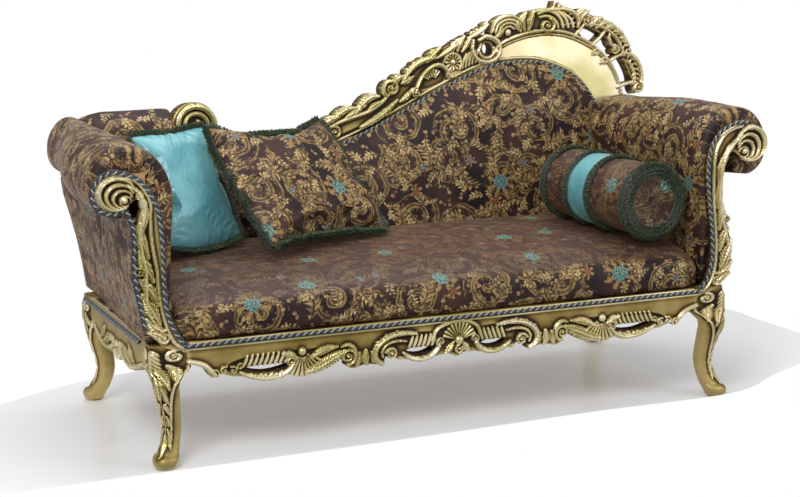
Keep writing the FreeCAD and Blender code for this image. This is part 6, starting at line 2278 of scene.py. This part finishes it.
@dataclass
class Cushion:
    """Square pillow: two squares of cloth sewn together, filled by a cloth simulation, with a fringe.

    Attributes:
        name: Name of the body and of its nodes.
        palette: The finishes.
        cloth: The cover's finish.
        centre: Middle, in millimetres.
        turn: Degrees about the upright.
        tilt: Degrees sideways.
        lean: Degrees backwards.
        width: Width in millimetres.
        height: Height in millimetres.
        crown: Thickness at the middle in millimetres.
        fringe: Length of its fringe in millimetres.
        seed: Start of its random numbers.
        bow: How far its cut sides bow out, as a share of its half size.
        fold: Height of the gathers along its seam in millimetres.
        gather: How far the gathers run in, as a share of its half size.
        cells: Cells of cloth along a side.
        steps: Frames that the cloth simulation runs for.
        swelling: How far it may move a point, in metres.
    """

    name: str
    palette: Palette
    cloth: Finish
    centre: tuple[float, float, float]
    turn: float
    tilt: float
    lean: float
    width: float
    height: float
    crown: float
    fringe: float
    seed: int
    bow: float = 0.11
    fold: float = 1.1
    gather: float = 0.3
    cells: int = 64
    steps: int = 24
    swelling: float = 0.045

    def turned(self) -> Matrix:
        """Place of the cushion: across is its width, up its height, and -y its front."""
        spin = (Matrix.Rotation(math.radians(self.turn), 4, "Z") @ Matrix.Rotation(math.radians(self.tilt), 4, "Y")
                @ Matrix.Rotation(math.radians(-self.lean), 4, "X"))
        return Matrix.Translation(Vector(self.centre) * MM) @ spin

    def pouch(self) -> tuple[bpy.types.Object, list[int]]:
        """Sew two flat squares together along their edges.

        Returns:
            The pouch about its own middle, and the seam's vertex numbers in order.
        """
        n = self.cells
        chance = np.random.default_rng(self.seed)
        half_w, half_h = self.width * MM / 2, self.height * MM / 2
        number: dict[tuple[int, int, int], int] = {}
        points: list[tuple[float, float, float]] = []
        for face in (0, 1):
            for i in range(n + 1):
                for j in range(n + 1):
                    rim = i in (0, n) or j in (0, n)
                    if rim and face == 1:
                        number[(face, i, j)] = number[(0, i, j)]
                        continue
                    u, v = 2 * i / n - 1, 2 * j / n - 1
                    # The cut sides bow out between the corners, apart from the top one, which sags
                    x = u * half_w * (1 + self.bow * (1 - v * v) * abs(u) ** 3)
                    z = v * half_h * (1 + (self.bow if v < 0 else self.bow * 0.32) * (1 - u * u) * abs(v) ** 3)
                    puff = (1 - u * u) ** 0.5 * (1 - v * v) ** 0.5
                    y = (face * 2 - 1) * self.crown * MM * 0.3 * puff + chance.normal(0, 0.0004) * puff
                    number[(face, i, j)] = len(points)
                    points.append((x, y, z))
        faces, places = [], []
        for face in (0, 1):
            for i in range(n):
                for j in range(n):
                    ring = [(i, j), (i + 1, j), (i + 1, j + 1), (i, j + 1)]
                    if face == 1:
                        ring.reverse()
                    faces.append(tuple(number[(face, a, b)] for a, b in ring))
                    places += [((a / n * self.width + 700 * face) * MM + self.seed * 0.13, b / n * self.height * MM)
                               for a, b in ring]
        built = smooth_object(f"{self.name}_cover", points, faces, self.cloth, fine=3.0)
        lay_cloth(built, places)
        rim = ([(i, 0) for i in range(n)] + [(n, j) for j in range(n)] + [(i, n) for i in range(n, 0, -1)]
               + [(0, j) for j in range(n, 0, -1)])
        return built, [number[(0, i, j)] for i, j in rim]

    def fill(self, built: bpy.types.Object) -> None:
        """Blow the pouch up with a cloth simulation and keep the result.

        Args:
            built: The flat cover.
        """
        cloth = built.modifiers.new("filling", "CLOTH")
        for name, value in (("quality", 6), ("mass", 0.25), ("tension_stiffness", 30), ("compression_stiffness", 12),
                            ("shear_stiffness", 6), ("bending_stiffness", 0.12), ("use_pressure", True),
                            ("uniform_pressure_force", 4.5), ("shrink_min", -0.09)):
            setattr(cloth.settings, name, value)
        cloth.settings.effector_weights.gravity = 0
        cloth.collision_settings.use_collision = False
        scene = bpy.context.scene
        for step in range(self.steps):
            scene.frame_set(step + 1)
        graph = bpy.context.evaluated_depsgraph_get()
        blown = bpy.data.meshes.new_from_object(built.evaluated_get(graph))
        built.modifiers.clear()
        old = points_of(built)
        move = np.array([v.co for v in blown.vertices]) - old
        far = np.linalg.norm(move, axis=1)[:, None]
        move_points(built, old + move * np.minimum(far, self.swelling) / np.maximum(far, 1e-9))
        scene.frame_set(1)

    def fit(self, built: bpy.types.Object) -> None:
        """Bring the filled cover to the cushion's finished size.

        Args:
            built: The filled cover.
        """
        points = points_of(built)
        middle = (points.max(axis=0) + points.min(axis=0)) / 2
        size = points.max(axis=0) - points.min(axis=0)
        seam = np.array([0.002, 0.003, 0.002])
        wanted = np.array([self.width, self.crown, self.height]) * MM - seam
        points = (points - middle) * (wanted / size)
        # Gathers that run in from the seam
        share = np.abs(points[:, (0, 2)]) / (wanted[[0, 2]] / 2)
        chance = np.random.default_rng(self.seed + 40)
        for edge, other in ((0, 2), (1, 0)):
            deep = 1 - share[:, edge]
            along = points[:, other] * (1 + 0.9 * deep)
            run = along / 0.034 + 1.1 * np.sin(along * 41 + chance.uniform(0, 6))
            run = run + 0.9 * np.sin(deep * 9 + along * 60 + chance.uniform(0, 6))
            fold = np.sin(run * math.tau) * (0.5 + 0.5 * np.sin(along * 29 + chance.uniform(0, 6)))
            fold = fold * np.exp(-((deep / self.gather) ** 2)) * np.clip(deep / 0.06, 0, 1)
            points[:, 1] += np.sign(points[:, 1]) * self.fold * MM * fold
        move_points(built, points)

    def build(self) -> list[bpy.types.Object]:
        """Fill the cushion, place it and sew its fringe on."""
        built, seam = self.pouch()
        self.fill(built)
        self.fit(built)
        rim = points_of(built)[seam + seam[:1]]
        smoother = built.modifiers.new("smooth", "SUBSURF")
        smoother.levels = smoother.render_levels = 1
        place = self.turned()
        built.data.transform(place)
        node = f"{self.name}_cushion"
        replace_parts(built, f"{node}_cover", f"{node}_filling")
        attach(built, node)
        line = even(rim, 0.002)
        over = np.tile(np.array([0.0, 1.0, 0.0]), (len(line), 1))
        out = np.cross(unit(np.gradient(line, axis=0)), over)
        out *= np.sign(np.sum(out * line, axis=1))[:, None]
        trim = pile(f"{self.name}_fringe", line, out, over, self.fringe * MM, 0.014, 0.0021, self.palette,
                    self.seed + 5)
        trim.data.transform(place)
        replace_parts(trim, f"{node}_fringe")
        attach(trim, node)
        return [built, trim]


@dataclass
class Bolster:
    """Round bolster: brocade sleeve with gathered ends, a satin band and fringes.

    Attributes:
        palette: The finishes.
        start: Middle of its front end, in millimetres.
        heading: Direction of its axis, from front to rear.
        radius: Radius in millimetres.
        length: Length in millimetres.
        fringes: Places of the fringes along it, in millimetres.
        band: Where the satin band starts and ends, in millimetres.
        around: Points round it.
        end: Section of a gathered end from its middle outwards: radius and depth in millimetres.
    """

    palette: Palette
    start: tuple[float, float, float] = (630.0, -332.0, 559.5)
    heading: tuple[float, float, float] = (-0.0906, 0.9959, 0.0)
    radius: float = 99.0
    length: float = 440.0
    fringes: tuple[float, ...] = (14.0, 182.7, 289.7, 406.0)
    band: tuple[float, float] = (203.4, 289.4)
    around: int = 144
    end: Points = ((3, 13), (12, 9), (24, 11), (40, 12), (56, 11), (68, 8), (80, 5), (92, 4), (99, 6))

    def placed(self, points: np.ndarray) -> np.ndarray:
        """Turn points of the bolster into their places.

        Args:
            points: Across, up and along the axis in millimetres, one row each.

        Returns:
            The places in metres.
        """
        along = np.array(self.heading)
        up = np.array([0.0, 0.0, 1.0])
        across = np.cross(along, up)
        return (np.array(self.start) + points[:, :1] * across + points[:, 1:2] * up + points[:, 2:] * along) * MM

    def sleeve(self) -> bpy.types.Object:
        """Turn the brocade sleeve with its pleated ends."""
        side = self.radius + 0.5
        rows = [*self.end, *((side, d) for d in np.linspace(8, self.length - 8, 54)),
                *((r, self.length - d) for r, d in reversed(self.end))]
        bulge = lambda d, start, end: math.sin(math.pi * (d - start) / (end - start)) if start < d < end else 0.0
        points, places = [], []
        wave = np.random.default_rng(31).uniform(0, math.tau)
        run = 0.0
        last = rows[0]
        for radius, depth in rows:
            run += math.hypot(radius - last[0], depth - last[1])
            last = (radius, depth)
            for number in range(self.around + 1):
                angle = number / self.around * math.tau
                r, d = radius, depth
                end = -1 if depth < self.length / 2 else 1
                if radius == side:
                    drag = 0.7 * math.sin(5 * angle + wave + depth * 0.02)
                    r += 1.6 * bulge(depth, 14, 182.7) + 1.3 * bulge(depth, 303, 406) + drag - 1.4
                    places.append((angle * self.radius * MM, run * MM))
                else:
                    gather = math.sin(26 * angle + 1.2 * math.sin(3 * angle))
                    d -= gather * 2.4 * min(1.0, radius / 30) * (1 if radius < 96 else 0.3) * end
                    places.append((r * MM * math.cos(angle) * 0.9 + 2.0 + end, r * MM * math.sin(angle) * 0.9))
                if number < self.around:
                    points.append((r * math.cos(angle), r * math.sin(angle), min(max(d, 0.5), self.length - 0.5)))
        # The cloth has one more place in each row than the sleeve has points, where it meets itself
        laid = np.array(places).reshape(len(rows), self.around + 1, 2)
        corners = np.stack([laid[:-1, :-1], laid[:-1, 1:], laid[1:, 1:], laid[1:, :-1]], axis=2).reshape(-1, 2)
        faces = tube(len(rows), self.around)
        built = smooth_object("bolster_sleeve", self.placed(np.array(points)), faces, self.palette.plain_sheen, fine=2.0)
        lay_cloth(built, np.vstack([corners, laid[0, :-1][::-1], laid[-1, :-1]]))
        return outward(built)

    def satin_band(self) -> bpy.types.Object:
        """Wrap the satin band, ruched along its edges."""
        points, rows = [], 22
        for row in range(rows):
            t = row / (rows - 1)
            depth = self.band[0] + (self.band[1] - self.band[0]) * t
            for number in range(self.around):
                angle = number / self.around * math.tau
                ruche = math.sin(38 * angle + 2 * math.sin(2 * angle)) * (abs(2 * t - 1) ** 3) * 0.9
                radius = self.radius + 2.0 + 1.8 * math.sin(math.pi * t) + ruche + 0.5 * math.sin(7 * angle + 9 * t)
                points.append((radius * math.cos(angle), radius * math.sin(angle), depth))
        for depth in (self.band[1], self.band[0]):
            for number in range(self.around):
                angle = number / self.around * math.tau
                points.append(((self.radius - 2) * math.cos(angle), (self.radius - 2) * math.sin(angle), depth))
        total = rows + 2
        faces = [(row * self.around + n, row * self.around + (n + 1) % self.around,
                  ((row + 1) % total) * self.around + (n + 1) % self.around, ((row + 1) % total) * self.around + n)
                 for row in range(total) for n in range(self.around)]
        return outward(smooth_object("bolster_band", self.placed(np.array(points)), faces, self.palette.satin,
                                     fine=1.2))

    def build(self) -> list[bpy.types.Object]:
        """Make the sleeve, band and fringes, all riding on the bolster."""
        sleeve, band = self.sleeve(), self.satin_band()
        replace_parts(sleeve, "bolster_cover", "bolster_filling")
        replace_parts(band, "bolster_satin_band")
        made = [sleeve, band]
        # Radius, depth, how far the tufts lean forward, their length and the fringe's width
        rings = [(self.radius, depth, 0.0, 13.5, 22.0) for depth in self.fringes]
        rings += [(74.0, 7.0, 1.1, 11.0, 15.0), (84.0, 6.0, 1.0, 12.0, 15.0), (93.0, 6.0, 0.8, 13.0, 15.0)]
        for number, (radius, depth, forward, reach, spread) in enumerate(rings):
            angle = np.linspace(0, math.tau, 420)
            line = self.placed(np.stack([radius * np.cos(angle), radius * np.sin(angle), 0 * angle + depth], axis=-1))
            out = unit(line - self.placed(np.array([[0.0, 0.0, depth]])))
            axis = np.tile(np.array(self.heading), (len(line), 1))
            way = out * math.cos(forward) - axis * math.sin(forward)
            over = axis * math.cos(forward) + out * math.sin(forward)
            trim = pile(f"bolster_fringe_{number}", line, way, over, reach * MM, spread * MM, 0.0024, self.palette,
                        60 + number)
            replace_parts(trim, "bolster_fringes")
            made.append(trim)
        for piece in made:
            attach(piece, "bolster")
        return made


# The chaise and its studio


@dataclass
class Woodwork:
    """All show wood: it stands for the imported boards, and rides on the frame.

    Attributes:
        places: Main planes of the chaise.
        palette: The finishes.
    """

    places: Places
    palette: Palette

    def volute(self) -> bpy.types.Object:
        """Carve the scroll at the low end of the crest."""
        x, z, radius, proud = -487, 757, 67, 9
        rim = arc(x, z, radius, radius, np.linspace(0, 360, 24)[:-1])
        spiral = tuple((*arc(x, z, 60 - 44 * t, 60 - 44 * t, (-20 + 800 * t,)), 9.5 - 4.0 * t)
                       for t in np.linspace(0, 1, 30))
        made = [Stroke(Cut.STEM, 11, spiral), boss(x, z, 12, 14)]
        carving = Carving("carved_volute", [tuple(zip(rim[::2], rim[1::2]))], made, step=2.0, thick=56.0)
        return carving.build(lambda x, z, h: self.places.leaned(x, z, h + proud), self.palette.carved)

    def build(self) -> list[bpy.types.Object]:
        """Carve every board and leg."""
        stand_ins = [(Crest(self.places, self.palette).build(), "crest_slope", "crest_panel", "crest_cresting"),
                     (self.volute(), "crest_volute"),
                     (Apron(self.places, self.palette).build(), "front_rail")]
        for side in ("left", "right"):
            stand_ins.append((Facing(self.places, self.palette, side).build(), f"{side}_arm_facing"))
            stand_ins.append((SideRail(self.palette, side).build(), f"{side}_side_rail"))
            for end in ("front", "rear"):
                node = f"{end}_{side}_leg"
                stand_ins.append((Leg(self.palette, node, end, side).build(), node))
        for piece, *nodes in stand_ins:
            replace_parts(piece, *nodes)
            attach(piece, "frame")
        return [piece for piece, *_ in stand_ins]


# Cord along each arm's facing; the left one runs on round the scroll and down the outer edge
ARM_CORDS = {
    "right": ((745, 318), (765, 335), (775, 360), (783, 395), (783, 430), (780, 480), (775, 520), (770, 560),
              (765, 600), (763, 640), (765, 680), (775, 720), (795, 748), (820, 765), (850, 775), (884, 776)),
    "left": ((730, 304), (752, 317), (774, 353), (790, 398), (795, 440), (797, 500), (797, 557), (799, 601),
             (804, 646), (817, 682), (836, 714), (862, 738), (897, 752), (926, 753), (950, 740), (965, 718),
             (966, 692), (952, 667), (926, 654), (902, 657), (887, 664), (878, 645), (868, 615), (866, 575),
             (869, 532), (866, 480), (856, 420), (846, 360)),
}


@dataclass
class Trimmings:
    """Gimps along the upholstery, where cloth meets wood.

    Attributes:
        places: Main planes of the chaise.
        palette: The finishes.
        proud: How far the cords of the seat and sides stand before their places, in millimetres.
    """

    places: Places
    palette: Palette
    proud: float = 1.0

    def straight(self, name: str, node: str, out: tuple[int, int, int]) -> Gimp:
        """Lay a gimp along a packed one that runs straight.

        Args:
            name: The piece's name.
            node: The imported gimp.
            out: Direction that it faces, along an axis.

        Returns:
            The gimp, still to be twisted.
        """
        low, high = (np.array(corner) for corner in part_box(node))
        middle, way = (low + high) / 2, np.array(out)
        face = np.where(way > 0, high, np.where(way < 0, low, middle)) + way * self.proud * MM
        # It runs along whichever of the level axes it doesn't face
        run = 1 - int(np.flatnonzero(way)[0])
        line = np.tile(face, (3, 1))
        line[:, run] = low[run], middle[run], high[run]
        return Gimp(name, node, line, out, self.palette)

    def build(self) -> list[bpy.types.Object]:
        """Lay every gimp and let it ride on the frame."""
        made = []
        for side, sign in (("right", 1), ("left", -1)):
            arm = ease(ARM_CORDS[side], 3.0)
            line = self.places.forward(sign * arm[:, 0], arm[:, 1], np.full(len(arm), 6.0))
            made.append(Gimp(f"{side}_arm_cord", f"{side}_arm_gimp", line, (0, -1, 0), self.palette))
            made.append(self.straight(f"{side}_side_cord", f"{side}_side_gimp", (sign, 0, 0)))
        made.append(self.straight("seat_cord", "seat_gimp", (0, -1, 0)))
        back = ease(PIPING, 3.0)
        line = self.places.leaned(back[:, 0], back[:, 1], np.full(len(back), 9.0))
        made.append(Gimp("back_cord", "back_gimp", line, (0, -1, 0.12), self.palette))
        pieces = [gimp.build() for gimp in made]
        for piece in pieces:
            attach(piece, "frame")
        return pieces


def dress_nodes(palette: Palette) -> int:
    """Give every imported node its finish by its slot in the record.

    Args:
        palette: The finishes.

    Returns:
        How many nodes were dressed.
    """
    by_slot = {"gilt_wood": palette.gilt, "carcass_wood": palette.wood, "glide": palette.glide,
               "brocade": palette.panel, "satin": palette.satin, "cord": palette.cord, "fringe": palette.fringe,
               "foam": palette.foam, "filling": palette.filling, "hessian": palette.hessian,
               "webbing": palette.webbing}
    slots = {part["node"]: part["material_slot"] for part in frame["record"]["subparts"]}
    for node, piece in frame["nodes"].items():
        finish = by_slot[slots[node]].material()
        for place in piece.material_slots:
            place.material = finish
    return len(frame["nodes"])


@dataclass
class Studio:
    """Camera, lamps, white surroundings and a pale, slightly glossy floor.

    Attributes:
        palette: The finishes.
        lens: Focal length in millimetres, on a sensor 36 mm wide.
        eye: The camera's place in metres.
        target: The point that it looks at.
        roll: Degrees that it leans.
        level: Light from all round, as a share of white.
    """

    palette: Palette
    lens: float = 84.24
    eye: tuple[float, float, float] = (-2.0559, -4.7256, 1.4541)
    target: tuple[float, float, float] = (-0.013, -0.043, 0.4305)
    roll: float = -0.2913
    level: float = 0.44

    def camera(self) -> None:
        """Look from the left and a little above, as the photograph does."""
        camera = bpy.data.cameras.new("camera")
        camera.lens = self.lens
        camera.sensor_width = 36.0
        held = linked("camera", camera)
        spin = Matrix.Rotation(math.radians(self.roll), 4, "Z")
        held.matrix_world = self.aimed(self.eye, self.target) @ spin
        bpy.context.scene.camera = held

    @staticmethod
    def aimed(place: Sequence[float], target: Sequence[float]) -> Matrix:
        """Stand something so that it faces a point.

        Args:
            place: Where it is, in metres.
            target: The point that it faces.

        Returns:
            Its matrix.
        """
        way = Vector(target) - Vector(place)
        return Matrix.Translation(place) @ way.to_track_quat("-Z", "Y").to_matrix().to_4x4()

    def lamp(self, name: str, place: tuple[float, float, float], aim: tuple[float, float, float], size: float,
             power: float) -> None:
        """Hang a square soft lamp that faces a point.

        Args:
            name: The lamp's name.
            place: Its place in metres.
            aim: The point that it faces.
            size: Length of its side in metres.
            power: Its power in watts.
        """
        light = bpy.data.lights.new(name, "AREA")
        light.size = size
        light.energy = power
        linked(name, light).matrix_world = self.aimed(place, aim)

    def surroundings(self) -> None:
        """White to the camera and in reflections; a plain light level for everything else."""
        world = bpy.data.worlds.new("studio")
        bpy.context.scene.world = world
        world.use_nodes = True
        world.node_tree.nodes.clear()
        graph = Graph(world.node_tree)
        ray = graph.add("LightPath").node.outputs
        seen = graph.add("Math", ray["Is Camera Ray"], ray["Is Transmission Ray"], operation="MAXIMUM")
        dim, white = (graph.add("Background", linear("#FFFFFF"), level) for level in (self.level, 1.0))
        mixed = graph.add("MixShader", seen, dim, white)
        graph.add("OutputWorld", mixed)

    def floor(self) -> None:
        """Lay the floor: a rounded pale board, white all round it."""
        rim = ease(((-1400, -408), (-920, -414), (-190, -410), (400, -392), (860, -390), (1090, -272), (1260, -180),
                    (1400, -60), (1450, 90), (1440, 320), (1400, 520), (1000, 600), (0, 640), (-660, 540),
                    (-870, 470), (-1070, 362), (-1300, 310), (-1640, 240), (-1760, -60), (-1660, -330)), 24, True)
        mesh = bpy.data.meshes.new("studio_floor")
        mesh.from_pydata([(x * MM, y * MM, 0.0) for x, y in rim], [], [tuple(range(len(rim)))])
        mesh.materials.append(self.palette.floor.material())
        linked("studio_floor", mesh)

    def build(self) -> None:
        """Set up the studio."""
        self.camera()
        self.surroundings()
        self.floor()
        self.lamp("key", (-2.6, -3.0, 3.6), (0, 0, 0.4), 1.9, 118)
        self.lamp("fill", (3.2, -3.4, 2.4), (0, 0, 0.5), 2.4, 44)
        self.lamp("top", (0.2, 0.6, 3.8), (0, 0, 0.4), 2.6, 66)
        bpy.context.scene.view_settings.view_transform = "Standard"


def main() -> None:
    """Build the chaise in order and report each group."""
    logging.basicConfig(level=logging.INFO, format="%(relativeCreated)d ms %(name)s: %(message)s")
    palette = Palette()
    places = Places.read()
    log.info("dressed %d packed nodes", dress_nodes(palette))
    Studio(palette).build()
    for group, made in (("woodwork", Woodwork(places, palette).build()),
                        ("upholstery", Upholstery(places, palette).build()),
                        ("trimmings", Trimmings(places, palette).build())):
        for piece in made:
            if group == "upholstery":
                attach(piece, "frame")
            log.info("%s: %s, %d faces", group, piece.name, len(piece.data.polygons))
    satin = Cushion("satin", palette, palette.satin, (-584, 96, 618), 25, -1, 25.5, 272, 340, 105, 17, 3,
                    fold=1.9, gather=0.7)
    brocade = Cushion("brocade", palette, palette.brocade, (-275, 76, 624.4), 23.4, 2.5, 43.5, 448, 404, 112, 20, 8)
    for part in (satin, brocade, Bolster(palette)):
        for piece in part.build():
            log.info("loose: %s, %d faces", piece.name, len(piece.data.polygons))


if __name__ == "__main__":
    main()
